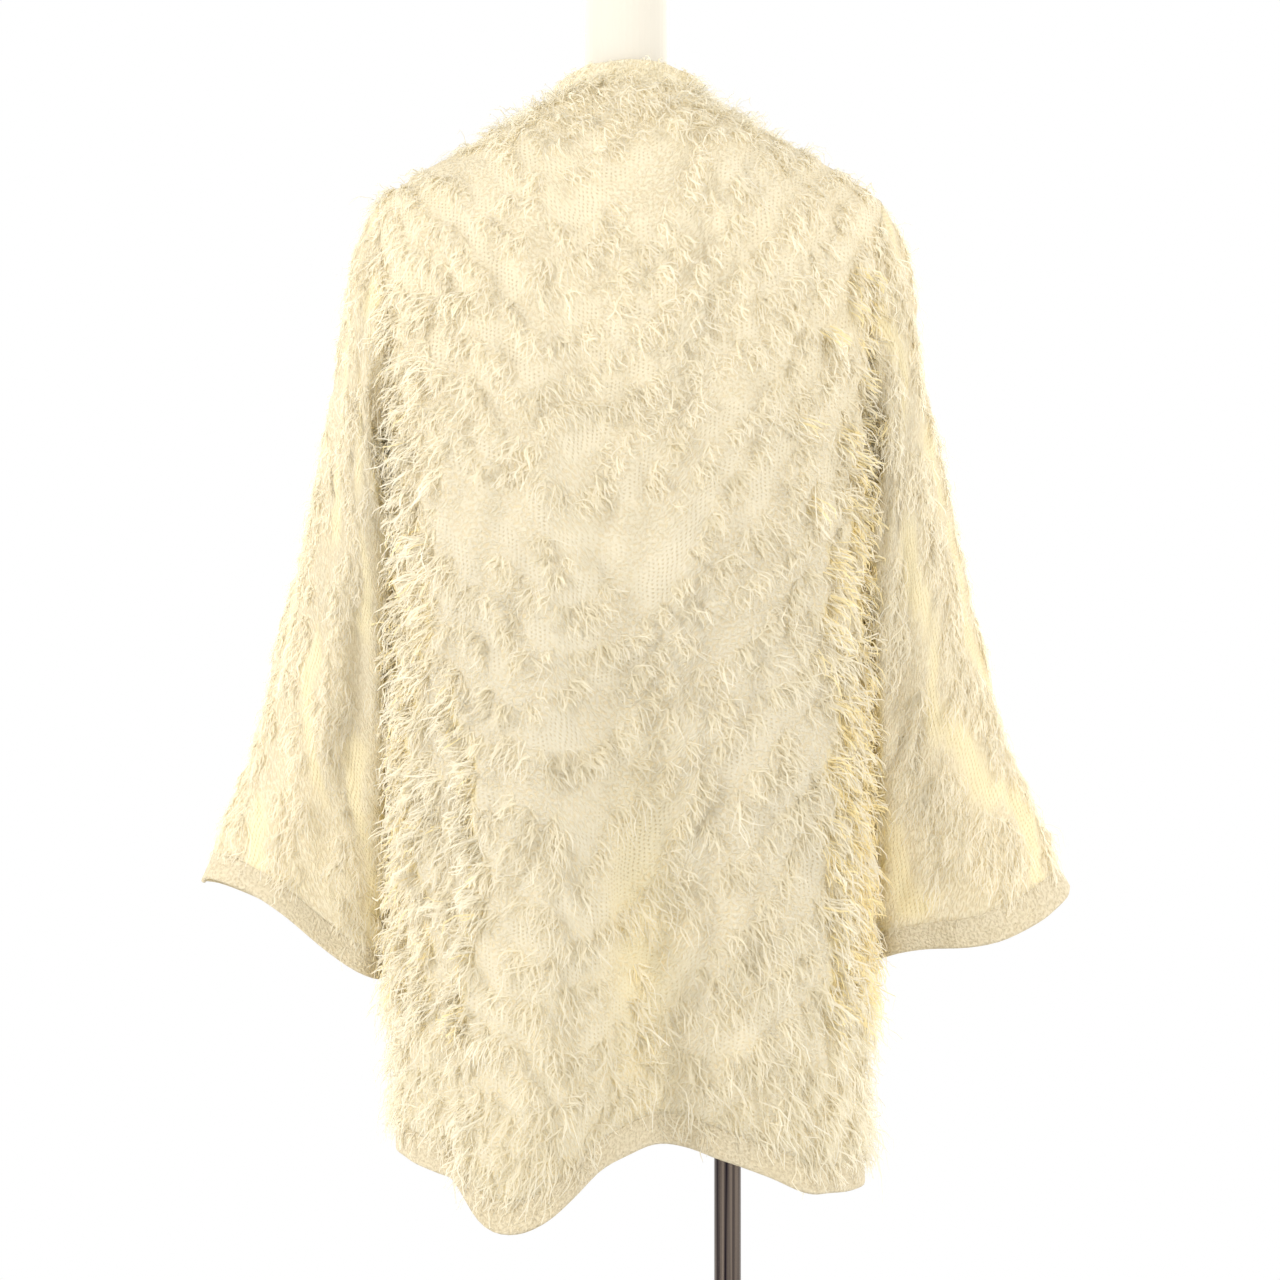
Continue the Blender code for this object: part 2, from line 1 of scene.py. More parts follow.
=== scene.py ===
"""Looks of the collarless knitted jacket on its dress form.

Metres, +Z up, in the frame of the CAD. Every knitted panel becomes a thin shell on its solid's
form, with soft creases and slanted ridges. On the ridges the panels carry cut fringe: tufts of
short yarn ends, made as joined meshes from arrays; plain knit shows between them. The bands are
plain knit strips with rounded edges. The form, its pole and its base keep their CAD shape.
"""

import json
import math
from collections import namedtuple
from functools import lru_cache

import bmesh
import bpy
import numpy as np
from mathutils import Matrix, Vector

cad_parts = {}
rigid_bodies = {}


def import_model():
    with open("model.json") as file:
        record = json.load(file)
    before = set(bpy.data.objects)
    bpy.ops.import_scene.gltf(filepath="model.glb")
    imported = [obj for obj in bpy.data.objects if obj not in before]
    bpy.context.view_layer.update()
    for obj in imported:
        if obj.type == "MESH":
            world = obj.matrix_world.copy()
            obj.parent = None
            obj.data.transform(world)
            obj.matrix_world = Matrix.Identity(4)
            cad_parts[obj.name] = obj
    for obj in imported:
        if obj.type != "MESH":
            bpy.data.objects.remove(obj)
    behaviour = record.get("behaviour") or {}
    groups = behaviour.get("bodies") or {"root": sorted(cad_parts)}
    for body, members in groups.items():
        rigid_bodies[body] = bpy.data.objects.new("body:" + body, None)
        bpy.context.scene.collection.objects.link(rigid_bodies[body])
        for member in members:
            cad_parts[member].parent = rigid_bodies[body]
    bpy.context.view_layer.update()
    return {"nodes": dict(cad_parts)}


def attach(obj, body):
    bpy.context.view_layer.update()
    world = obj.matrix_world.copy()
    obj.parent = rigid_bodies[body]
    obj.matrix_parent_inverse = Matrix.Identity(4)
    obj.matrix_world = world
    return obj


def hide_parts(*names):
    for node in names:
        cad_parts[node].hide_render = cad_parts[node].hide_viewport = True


for ob in list(bpy.data.objects):
    bpy.data.objects.remove(ob, do_unlink=True)
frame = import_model()

# ---------------------------------------------------------------- cloth sizes, as in the CAD
WALL = 0.0030            # thickness of the knitted panels
BAND_WALL = 0.0044       # thickness of the plain bands, with their rounded edges
HEM_BAND = 0.022
NECK_BAND = 0.020
FRONT_GAP = 0.012
FRONT_BAND = 0.022

NECK_X = 0.062
NECK_Z = 1.364
NECK_BACK_Y = 0.050
NECK_BACK_RISE = 0.011
NECK_FRONT_Y = 0.084
NECK_FRONT_DROP = 0.080
NECK_FRONT_EASE = 1.6
NECK_FRONT_POINT = 0.80
NECK_BACK_POINT = 0.55

UNDERARM_Z = 1.060
ARMHOLE_DEPTH = 0.050
SHOULDER_ROUND = 0.100
NECK_ROUND = 0.130
FOLD_START_Z = 1.000
FOLD_POWER = 1.5
SECTION_POWER = 2.6

Shoulder = namedtuple("Shoulder", "x z")
SHOULDER = [
    Shoulder(0.062, 1.364),
    Shoulder(0.105, 1.341),
    Shoulder(0.167, 1.308),
    Shoulder(0.204, 1.284),
]
Section = namedtuple("Section", "z half_width back_depth front_depth")
BODY = [
    Section(0.460, 0.1890, 0.143, 0.134),
    Section(0.650, 0.1890, 0.134, 0.130),
    Section(0.850, 0.1900, 0.124, 0.127),
    Section(1.060, 0.1930, 0.118, 0.125),
    Section(1.170, 0.2020, 0.113, 0.119),
    Section(1.284, 0.2165, 0.100, 0.103),
    Section(1.400, 0.2215, 0.088, 0.086),
]
Fold = namedtuple("Fold", "x hem_z out")
BACK_FOLDS = [
    Fold(-0.189, 0.512, 0.000),
    Fold(-0.141, 0.504, 0.010),
    Fold(-0.106, 0.464, 0.050),
    Fold(-0.066, 0.466, 0.056),
    Fold(-0.024, 0.518, 0.020),
    Fold(0.028, 0.532, -0.030),
    Fold(0.085, 0.512, -0.006),
    Fold(0.150, 0.490, 0.016),
    Fold(0.189, 0.484, 0.000),
]
FRONT_FOLDS = [
    Fold(-0.189, 0.512, 0.000),
    Fold(-0.130, 0.505, 0.016),
    Fold(-0.080, 0.508, -0.012),
    Fold(0.000, 0.512, 0.004),
    Fold(0.065, 0.508, -0.010),
    Fold(0.125, 0.496, 0.014),
    Fold(0.189, 0.484, 0.000),
]
Ring = namedtuple("Ring", "outer_x outer_z inner_x inner_z half_depth shift_y wave")
SLEEVE_RIGHT = [
    Ring(0.2210, 1.246, 0.2015, 1.043, 0.0560, 0.002, 0.000),
    Ring(0.2315, 1.190, 0.1995, 1.000, 0.0570, 0.005, 0.000),
    Ring(0.2435, 1.120, 0.1985, 0.950, 0.0575, 0.009, 0.000),
    Ring(0.2570, 1.050, 0.1980, 0.900, 0.0575, 0.013, 0.000),
    Ring(0.2725, 0.980, 0.1975, 0.850, 0.0575, 0.017, 0.000),
    Ring(0.2890, 0.912, 0.1975, 0.800, 0.0575, 0.020, -0.001),
    Ring(0.3080, 0.845, 0.1985, 0.752, 0.0570, 0.022, -0.002),
    Ring(0.3330, 0.784, 0.2000, 0.709, 0.0560, 0.024, -0.004),
    Ring(0.3515, 0.739, 0.2010, 0.675, 0.0550, 0.025, -0.006),
    Ring(0.3570, 0.729, 0.2015, 0.665, 0.0550, 0.025, -0.007),
    Ring(0.3625, 0.719, 0.2020, 0.655, 0.0550, 0.025, -0.008),
]
SLEEVE_LEFT = [
    Ring(0.2210, 1.246, 0.2015, 1.043, 0.0560, 0.002, 0.000),
    Ring(0.2320, 1.190, 0.1995, 1.000, 0.0570, 0.005, 0.000),
    Ring(0.2440, 1.120, 0.1985, 0.950, 0.0575, 0.009, 0.000),
    Ring(0.2575, 1.050, 0.1980, 0.900, 0.0575, 0.013, 0.000),
    Ring(0.2725, 0.980, 0.1975, 0.850, 0.0575, 0.017, 0.000),
    Ring(0.2885, 0.912, 0.1975, 0.800, 0.0575, 0.020, 0.001),
    Ring(0.3065, 0.845, 0.1985, 0.752, 0.0570, 0.022, 0.003),
    Ring(0.3290, 0.788, 0.2000, 0.708, 0.0560, 0.024, 0.006),
    Ring(0.3440, 0.744, 0.2010, 0.672, 0.0550, 0.025, 0.009),
    Ring(0.3485, 0.734, 0.2015, 0.662, 0.0550, 0.025, 0.010),
    Ring(0.3530, 0.724, 0.2020, 0.652, 0.0550, 0.025, 0.010),
]
CUFF_ROWS = 2

# how finely the shells are cut
ARM_ROWS = 30
SIDE_ROWS = 48
HEM_ROWS = 6
NECK_COLS = 24
SHOULDER_COLS = 30
FRONT_NECK_COLS = 9
BAND_COLS = 6
SLEEVE_STEPS = 5         # rows between two rings of a sleeve
CUFF_STEPS = 4           # rows between two rings of a cuff

# ---------------------------------------------------------------- knit and fringe sizes
RIDGE = 0.0050           # height of the ridges that carry the fringe
LUMP = 0.0022            # height of the soft lumps of the ground
LAP = 0.0028             # how far a band laps over the edge of its panel
YARN = 0.00080           # width of a yarn end
Z_REF = 1.375            # the pattern's rows are counted down from here

# Soft troughs (depth < 0) and ridges: across and down the panel, half length,
# half width, depth, and the angle of its run from straight down, positive to the panel's right.
Crease = namedtuple("Crease", "p q half_length half_width depth angle")
BACK_CREASES = [
    Crease(0.008, 0.600, 0.200, 0.034, -0.0105, 2),
    Crease(-0.085, 0.620, 0.170, 0.030, 0.0050, -4),
    Crease(-0.150, 0.600, 0.140, 0.016, -0.0050, 6),
    Crease(0.110, 0.640, 0.160, 0.028, 0.0050, 5),
    Crease(0.062, 0.700, 0.110, 0.014, -0.0040, -8),
    Crease(-0.030, 0.700, 0.100, 0.016, 0.0040, 7),
    Crease(-0.140, 0.270, 0.090, 0.018, -0.0045, 24),
    Crease(0.150, 0.290, 0.100, 0.018, -0.0045, -22),
    Crease(0.070, 0.380, 0.120, 0.026, 0.0030, -14),
    Crease(-0.060, 0.360, 0.130, 0.026, 0.0030, 10),
    Crease(0.175, 0.480, 0.120, 0.014, -0.0040, 4),
    Crease(-0.190, 0.470, 0.120, 0.014, -0.0040, -3),
]
FRONT_CREASES = [
    Crease(0.090, 0.250, 0.100, 0.018, -0.0045, -20),
    Crease(0.050, 0.560, 0.170, 0.022, 0.0045, 4),
    Crease(0.110, 0.620, 0.150, 0.018, -0.0050, -5),
    Crease(0.160, 0.560, 0.130, 0.020, 0.0040, 6),
    Crease(0.030, 0.720, 0.090, 0.014, -0.0035, 8),
]
SLEEVE_CREASES = [
    Crease(0.080, 0.120, 0.070, 0.014, -0.0040, 40),
    Crease(0.150, 0.240, 0.110, 0.020, 0.0045, 14),
    Crease(0.190, 0.330, 0.120, 0.016, -0.0045, 8),
    Crease(0.110, 0.370, 0.100, 0.018, 0.0040, -10),
    Crease(0.070, 0.300, 0.100, 0.014, -0.0040, 18),
    Crease(0.330, 0.220, 0.110, 0.018, -0.0045, -14),
    Crease(0.380, 0.330, 0.110, 0.020, 0.0045, 10),
    Crease(0.430, 0.250, 0.090, 0.014, -0.0035, -20),
]


# ---------------------------------------------------------------- the shape, as in the CAD
def along(table, key, value, name):
    return float(np.interp(value, [getattr(r, key) for r in table], [getattr(r, name) for r in table]))


def eased(table, key, value, name):
    keys = [getattr(r, key) for r in table]
    vals = [getattr(r, name) for r in table]
    if value <= keys[0]:
        return vals[0]
    for k0, k1, v0, v1 in zip(keys, keys[1:], vals, vals[1:]):
        if value <= k1:
            t = (value - k0) / (k1 - k0)
            return v0 + (v1 - v0) * (0.5 - 0.5 * math.cos(math.pi * t))
    return vals[-1]


SHOULDER_X, SHOULDER_Z = SHOULDER[-1]
ARM_MID_Z = 0.5 * (SHOULDER_Z + UNDERARM_Z)
ARM_HALF = 0.5 * (SHOULDER_Z - UNDERARM_Z)


@lru_cache(None)
def top_edge(x, front):
    x = abs(x)
    if x >= NECK_X - 1e-9:
        return along(SHOULDER, "x", x, "z"), 0.0
    q = max(0.0, 1.0 - (x / NECK_X) ** 2)
    if front:
        q **= NECK_FRONT_POINT
        return NECK_Z - NECK_FRONT_DROP * q ** NECK_FRONT_EASE, NECK_FRONT_Y * q
    return NECK_Z + NECK_BACK_RISE * q, NECK_BACK_Y * q ** NECK_BACK_POINT


@lru_cache(None)
def top_angle(x, front):
    a = along(BODY, "z", top_edge(x, front)[0], "half_width")
    return math.asin(min(1.0, (abs(x) / a) ** (SECTION_POWER / 2)))


ANGLE_TOP = top_angle(SHOULDER_X, False)


def rounding(x_top, h):
    t = min(h / SHOULDER_ROUND, 1.0)
    over_shoulder = math.sqrt(max(0.0, 1.0 - (1.0 - t) ** 2))
    below_neck = 1.0 - (1.0 - min(h / NECK_ROUND, 1.0)) ** 1.6
    w = min(1.0, abs(x_top) / NECK_X) ** 2
    return w * over_shoulder + (1.0 - w) * below_neck


def side_angle(z, depth):
    if z >= SHOULDER_Z - 1e-7:
        return ANGLE_TOP
    if z <= UNDERARM_Z + 1e-7:
        return math.pi / 2
    q = (z - ARM_MID_Z) / ARM_HALF
    y = ARMHOLE_DEPTH * math.sqrt(max(0.0, 1.0 - q * q))
    y /= rounding(SHOULDER_X, SHOULDER_Z - z) * depth
    return math.acos(min(1.0, y ** (SECTION_POWER / 2)))


@lru_cache(None)
def hem_x(x_top, front):
    side = -1.0 if x_top < 0 else 1.0
    share = top_angle(x_top, front) / ANGLE_TOP
    angle = share * ANGLE_TOP + (math.pi / 2 - ANGLE_TOP) * share ** 3
    return side * BODY[0].half_width * math.sin(angle) ** (2 / SECTION_POWER)


@lru_cache(None)
def hem_z(x_top, front):
    return eased(FRONT_FOLDS if front else BACK_FOLDS, "x", hem_x(x_top, front), "hem_z")


@lru_cache(None)
def fold_out(x_top, front):
    return eased(FRONT_FOLDS if front else BACK_FOLDS, "x", hem_x(x_top, front), "out")


def body_point(x_top, z, front):
    side = -1.0 if x_top < 0 else 1.0
    z_top, y_top = top_edge(x_top, front)
    share = top_angle(x_top, front) / ANGLE_TOP
    a = along(BODY, "z", z, "half_width")
    b = along(BODY, "z", z, "front_depth" if front else "back_depth")
    angle = share * ANGLE_TOP + (side_angle(z, b) - ANGLE_TOP) * share ** 3
    x = side * a * math.sin(angle) ** (2 / SECTION_POWER)
    y = b * max(0.0, math.cos(angle)) ** (2 / SECTION_POWER)
    y = y_top + (y - y_top) * rounding(x_top, z_top - z)
    t = (FOLD_START_Z - z) / (FOLD_START_Z - hem_z(x_top, front))
    y += fold_out(x_top, front) * max(0.0, min(1.0, t)) ** FOLD_POWER
    return x, (y if front else -y), z


def row_heights(x_top, front):
    z_top = top_edge(x_top, front)[0]
    z_band = hem_z(x_top, front) + HEM_BAND
    rows = [z_top + (UNDERARM_Z - z_top) * 0.5 * (1 - math.cos(math.pi * i / ARM_ROWS))
            for i in range(ARM_ROWS + 1)]
    rows += [UNDERARM_Z + (z_band - UNDERARM_Z) * i / SIDE_ROWS for i in range(1, SIDE_ROWS + 1)]
    rows += [z_band - HEM_BAND * i / HEM_ROWS for i in range(1, HEM_ROWS + 1)]
    return rows


def body_grid(columns, front):
    grid = np.array([[body_point(x, z, front) for z in row_heights(x, front)] for x in columns])
    grid = grid.transpose(1, 0, 2)
    for j, x in enumerate(columns):
        if abs(abs(x) - SHOULDER_X) < 1e-9:
            grid[0, j] = (x, 0.0, SHOULDER_Z)
    return grid


def shoulder_columns():
    a0, a1 = top_angle(NECK_X, False), ANGLE_TOP
    xs = []
    for i in range(SHOULDER_COLS + 1):
        want, low, high = a0 + (a1 - a0) * i / SHOULDER_COLS, NECK_X, SHOULDER_X
        for _ in range(40):
            mid = 0.5 * (low + high)
            low, high = (mid, high) if top_angle(mid, False) < want else (low, mid)
        xs.append(0.5 * (low + high))
    xs[0], xs[-1] = NECK_X, SHOULDER_X
    return xs


def neck_columns(x0, x1, count):
    a0, a1 = math.asin(x0 / NECK_X), math.asin(x1 / NECK_X)
    return [NECK_X * math.sin(a0 + (a1 - a0) * i / count) for i in range(count + 1)]


def unit(v):
    return v / np.maximum(np.linalg.norm(v, axis=-1, keepdims=True), 1e-12)


def steps(grid, axis, closed=False):
    if closed:
        return 0.5 * (np.roll(grid, -1, axis) - np.roll(grid, 1, axis))
    return np.gradient(grid, axis=axis)


# ---------------------------------------------------------------- grids of panels
class Panel:
    """A grid of points on the cloth's middle, rows down and columns across, with its measures:
    p across the cloth and q down it, in metres."""

    def __init__(self, points, outside, closed=False, middle=0, q_top=None):
        self.P, self.closed = points, closed
        run, down = steps(points, 1, closed), steps(points, 0)
        n = unit(np.cross(run, down))
        mid = (points.shape[0] // 2, points.shape[1] // 2 if not closed else 0)
        if np.dot(n[mid], outside) < 0:
            n = -n
        self.N = n
        self.U = unit(run)
        self.V = unit(down)
        lengths = np.linalg.norm(np.diff(points, axis=0), axis=2)
        q = np.vstack([np.zeros((1, points.shape[1])), np.cumsum(lengths, axis=0)])
        self.q = q + (0.0 if q_top is None else q_top)
        across = np.linalg.norm(np.diff(points, axis=1), axis=2)
        p = np.hstack([np.zeros((points.shape[0], 1)), np.cumsum(across, axis=1)])
        self.p = p - p[:, middle:middle + 1]


shoulder = shoulder_columns()
back_neck = neck_columns(-NECK_X, NECK_X, NECK_COLS)
back_cols = [-x for x in reversed(shoulder)] + back_neck[1:-1] + shoulder
EDGE_X = FRONT_GAP / 2 + FRONT_BAND
band_x = neck_columns(FRONT_GAP / 2, EDGE_X, BAND_COLS)
front_neck = neck_columns(EDGE_X, NECK_X, FRONT_NECK_COLS)
front_cols = band_x[:-1] + front_neck[:-1] + shoulder
B = len(band_x) - 1
S0 = B + len(front_neck) - 1
ROW_BAND = ARM_ROWS + SIDE_ROWS

back_g = body_grid(back_cols, False)
front_g = {+1: body_grid(front_cols, True), -1: body_grid([-x for x in front_cols], True)}


def eased_columns(grid, ends, rounds=60):
    """Smooths a grid across the columns near the ends of the neckline, below the neckline itself."""
    cols = np.arange(grid.shape[1])
    near = sum(np.exp(-((cols - e) / 7.0) ** 2) for e in ends)
    share = 0.5 * np.minimum(1.0, near)[None, 1:-1, None] \
        * np.clip((np.arange(grid.shape[0]) - 1) / 6.0, 0.0, 1.0)[:, None, None]
    for _ in range(rounds):
        grid[:, 1:-1] += share * (0.5 * (grid[:, :-2] + grid[:, 2:]) - grid[:, 1:-1])


eased_columns(back_g, (SHOULDER_COLS, len(back_cols) - 1 - SHOULDER_COLS))
for side in (1, -1):
    eased_columns(front_g[side], (S0,))


def top_drop(columns, front):
    return np.array([[Z_REF - top_edge(x, front)[0] for x in columns]])


def sleeve_rings(side, table):
    j = len(back_cols) - 1 if side > 0 else 0
    hole = [back_g[i, j] for i in range(ARM_ROWS + 1)]
    hole += [front_g[side][i, -1] for i in range(ARM_ROWS - 1, 0, -1)]
    rings = [hole]
    for r in table:
        outer = np.array((side * r.outer_x, r.shift_y, r.outer_z))
        inner = np.array((side * r.inner_x, r.shift_y, r.inner_z))
        mid, arm = 0.5 * (outer + inner), 0.5 * (outer - inner)
        ring = []
        for i in range(2 * ARM_ROWS):
            t = math.pi * i / ARM_ROWS
            wave = r.wave * math.sin(2 * t) * (1.0 if t <= math.pi else -0.3)
            ring.append(mid + arm * math.cos(t) - np.array((0, r.half_depth * math.sin(t), -wave)))
        rings.append(ring)
    return np.array(rings)


def between(rings, first, last, count):
    """Rings from first to last, with count - 1 smooth rings between each two."""
    out = []
    for k in range(first, last):
        a, b, c, d = (rings[min(max(k + o, 0), len(rings) - 1)] for o in (-1, 0, 1, 2))
        if k == 0:
            a = 2 * b - c
        if k + 2 > len(rings) - 1:
            d = 2 * c - b
        for s in range(count):
            t = s / count
            out.append(0.5 * (2 * b + (c - a) * t + (2 * a - 5 * b + 4 * c - d) * t * t
                              + (3 * b - a - 3 * c + d) * t ** 3))
    out.append(rings[last])
    return np.array(out)


# ---------------------------------------------------------------- knit pattern
def mixed(i, j, seed):
    """An even spread of numbers from 0 to 1 for whole numbers i and j."""
    v = np.sin(i * 127.1 + j * 311.7 + seed * 74.7) * 43758.5453
    return v - np.floor(v)


# The lines of fringe on a panel: their slope from straight across, in degrees, the distance from
# line to line, where across the panel the slope turns to its mirror image (None: it never does),
# how far the fringe reaches from its line towards the next, and how far from its line it is rooted.
Lines = namedtuple("Lines", "slope pitch turn_at reach roots")


def fringe_lines(p, q, seed, lines):
    """Place between one line of fringe and the next, from 0 to 1; strength of the fringe and of the
    plain knit there, which change along a line; and the side to which the fringe falls."""
    pw = p - (lines.turn_at or 0.0) + 0.012 * np.sin(q * 23.0 + seed) + 0.007 * np.sin(q * 61.0 + p * 25.0 + 2.1 * seed)
    qw = q + 0.010 * np.sin(p * 29.0 + 1.7 * seed) + 0.007 * np.sin(p * 71.0 + q * 33.0 + 0.6 * seed)
    a = math.radians(lines.slope)
    if lines.turn_at is None:
        side, reach = np.ones_like(pw), pw
    else:
        side, reach = np.tanh(pw / 0.012), np.abs(pw)
    w = (reach * math.sin(a) + qw * math.cos(a)) / lines.pitch
    run = (qw * math.sin(a) - reach * math.cos(a)) / 0.046
    line = np.floor(w)
    spot = run + 7.0 * mixed(line, 0 * line, seed)
    k = np.floor(spot)
    t = smooth(0.0, 1.0, spot - k)
    full = mixed(line, k, seed + 1) * (1 - t) + mixed(line, k + 1, seed + 1) * t
    bare = mixed(line, k, seed + 2) * (1 - t) + mixed(line, k + 1, seed + 2) * t
    return w - line, full, bare, side


def smooth(low, high, x):
    t = np.clip((x - low) / (high - low), 0.0, 1.0)
    return t * t * (3 - 2 * t)


def lumps(p, q, seed):
    """Soft uneven lumps across a panel, about 0 on average: many slow waves in all directions."""
    waves = np.random.default_rng(int(100 * seed) + 7)
    out = np.zeros_like(p)
    for _ in range(14):
        a, length, phase = waves.uniform(0, math.pi), waves.uniform(0.024, 0.060), waves.uniform(0, 6.3)
        out += np.sin((p * math.cos(a) + q * math.sin(a)) * 2 * math.pi / length + phase)
    return out / math.sqrt(28)


def relief(panel, seed, creases, lines, mirror=1.0, ridge=RIDGE):
    """Moves a panel's points out and in: the ridges of the fringe, then the listed creases."""
    f, full, bare, _ = fringe_lines(panel.p, panel.q, seed, lines)
    top = lines.reach * 0.75
    out = ridge * smooth(0.0, top * 0.8, f) * smooth(lines.reach * 1.25, top, f) * (0.35 + 0.65 * full)
    down = (panel.q - panel.q.min()) / (panel.q.max() - panel.q.min())
    out = out + LUMP * (1 + 0.6 * down) * lumps(panel.p, panel.q, seed)
    panel.zone = 1.0 - smooth(lines.reach * 1.05, lines.reach * 1.2, f) * smooth(1.0, 0.94, f) * smooth(0.30, 0.42, bare)
    # No painted glow yet; each panel gets its own below.
    panel.warm = np.zeros_like(out)
    # Painted shade: the panel's colour darkens towards its hem, for less light falling low on the jacket.
    panel.shade = smooth(0.10, 0.60, down)
    for c in creases:
        a = math.radians(c.angle * mirror)
        dp, dq = panel.p * mirror - c.p, panel.q - c.q
        run = dq * math.cos(a) + dp * math.sin(a) * mirror
        side = dp * math.cos(a) - dq * math.sin(a) * mirror
        out = out + c.depth * np.exp(-(run / c.half_length) ** 2 - (side / c.half_width) ** 2)
    # seams hold still, so that the panels stay joined
    rows, cols = out.shape
    hold = smooth(0, 4, np.arange(rows))[:, None] * smooth(0, 3, np.arange(rows)[::-1])[:, None]
    if not panel.closed:
        hold = hold * smooth(0, 4, np.arange(cols))[None] * smooth(0, 4, np.arange(cols)[::-1])[None]
    panel.P = panel.P + panel.N * (out * hold)[..., None]
    n = unit(np.cross(steps(panel.P, 1, panel.closed), steps(panel.P, 0)))
    panel.N = np.where((n * panel.N).sum(axis=2, keepdims=True) < 0, -n, n)


def facing_gap(pos, normal, way, low=0.80, high=0.96):
    """How far cloth faces the gap between body and sleeve, where light goes from cloth to cloth; there
    the yarn's colour takes a painted yellow glow that stands in for this light."""
    z = pos[..., 2]
    return smooth(low, high, normal[..., 0] * way) * smooth(1.12, 1.02, z) * smooth(0.60, 0.68, z)


# ---------------------------------------------------------------- meshes
def new_mesh(name, verts, loops, starts, uv=None, uv_name="UVMap"):
    mesh = bpy.data.meshes.new(name)
    mesh.vertices.add(len(verts))
    mesh.vertices.foreach_set("co", np.ascontiguousarray(verts, dtype=np.float32).ravel())
    mesh.loops.add(len(loops))
    mesh.loops.foreach_set("vertex_index", np.ascontiguousarray(loops, dtype=np.int32))
    mesh.polygons.add(len(starts))
    mesh.polygons.foreach_set("loop_start", np.ascontiguousarray(starts, dtype=np.int32))
    mesh.polygons.foreach_set("use_smooth", np.ones(len(starts), dtype=bool))
    if uv is not None:
        layer = mesh.uv_layers.new(name=uv_name)
        layer.data.foreach_set("uv", np.ascontiguousarray(uv, dtype=np.float32).ravel())
    mesh.update(calc_edges=True)
    mesh.validate()
    ob = bpy.data.objects.new(name, mesh)
    bpy.context.scene.collection.objects.link(ob)
    return ob


def face_out(ob):
    bm = bmesh.new()
    bm.from_mesh(ob.data)
    bmesh.ops.recalc_face_normals(bm, faces=bm.faces)
    bm.to_mesh(ob.data)
    bm.free()
    return ob


def quads(ids, uv):
    """Loops and corner coordinates of the faces of a grid of vertex numbers."""
    corner = [np.s_[:-1, :-1], np.s_[:-1, 1:], np.s_[1:, 1:], np.s_[1:, :-1]]
    faces = np.stack([ids[c] for c in corner], axis=-1).reshape(-1, 4)
    uvs = np.stack([uv[c] for c in corner], axis=-2).reshape(-1, 4, 2)
    return faces, uvs


def shell(name, panel, thickness):
    """A closed thin wall on a panel, with the cloth's own measures as its map."""
    P, N = panel.P, panel.N
    rows, cols = P.shape[:2]
    verts = np.vstack([(P + N * thickness / 2).reshape(-1, 3), (P - N * thickness / 2).reshape(-1, 3)])
    ids = np.arange(rows * cols).reshape(rows, cols)
    uv = np.stack([panel.p, panel.q], axis=-1)
    if panel.closed:
        ids = np.hstack([ids, ids[:, :1]])
        last = uv[:, -1:] + (uv[:, -1:] - uv[:, -2:-1])
        uv = np.hstack([uv, np.concatenate([last[..., :1], uv[:, :1, 1:]], axis=-1)])
    inner = ids + rows * cols
    found = [quads(ids, uv), quads(inner[:, ::-1], uv[:, ::-1])]
    rims = [(ids[:1], inner[:1], uv[:1]), (inner[-1:], ids[-1:], uv[-1:])]
    if not panel.closed:
        rims += [(inner[:, 0][None], ids[:, 0][None], uv[:, 0][None]),
                 (ids[:, -1][None], inner[:, -1][None], uv[:, -1][None])]
    for a, b, m in rims:
        found.append(quads(np.vstack([a, b]), np.concatenate([m, m + (0, thickness)])))
    faces = np.vstack([f for f, _ in found])
    uvs = np.vstack([u for _, u in found])
    ob = face_out(new_mesh(name, verts, faces.ravel(), np.arange(len(faces)) * 4, uvs.reshape(-1, 2)))
    # The knit's zone, and the painted glow and painted shade that its colour reads from the panel.
    for word, values in (("zone", panel.zone), ("warm", panel.warm), ("shade", panel.shade)):
        layer = ob.data.attributes.new(word, "FLOAT", "POINT")
        layer.data.foreach_set("value", np.tile(values.ravel(), 2).astype(np.float32))
    return ob


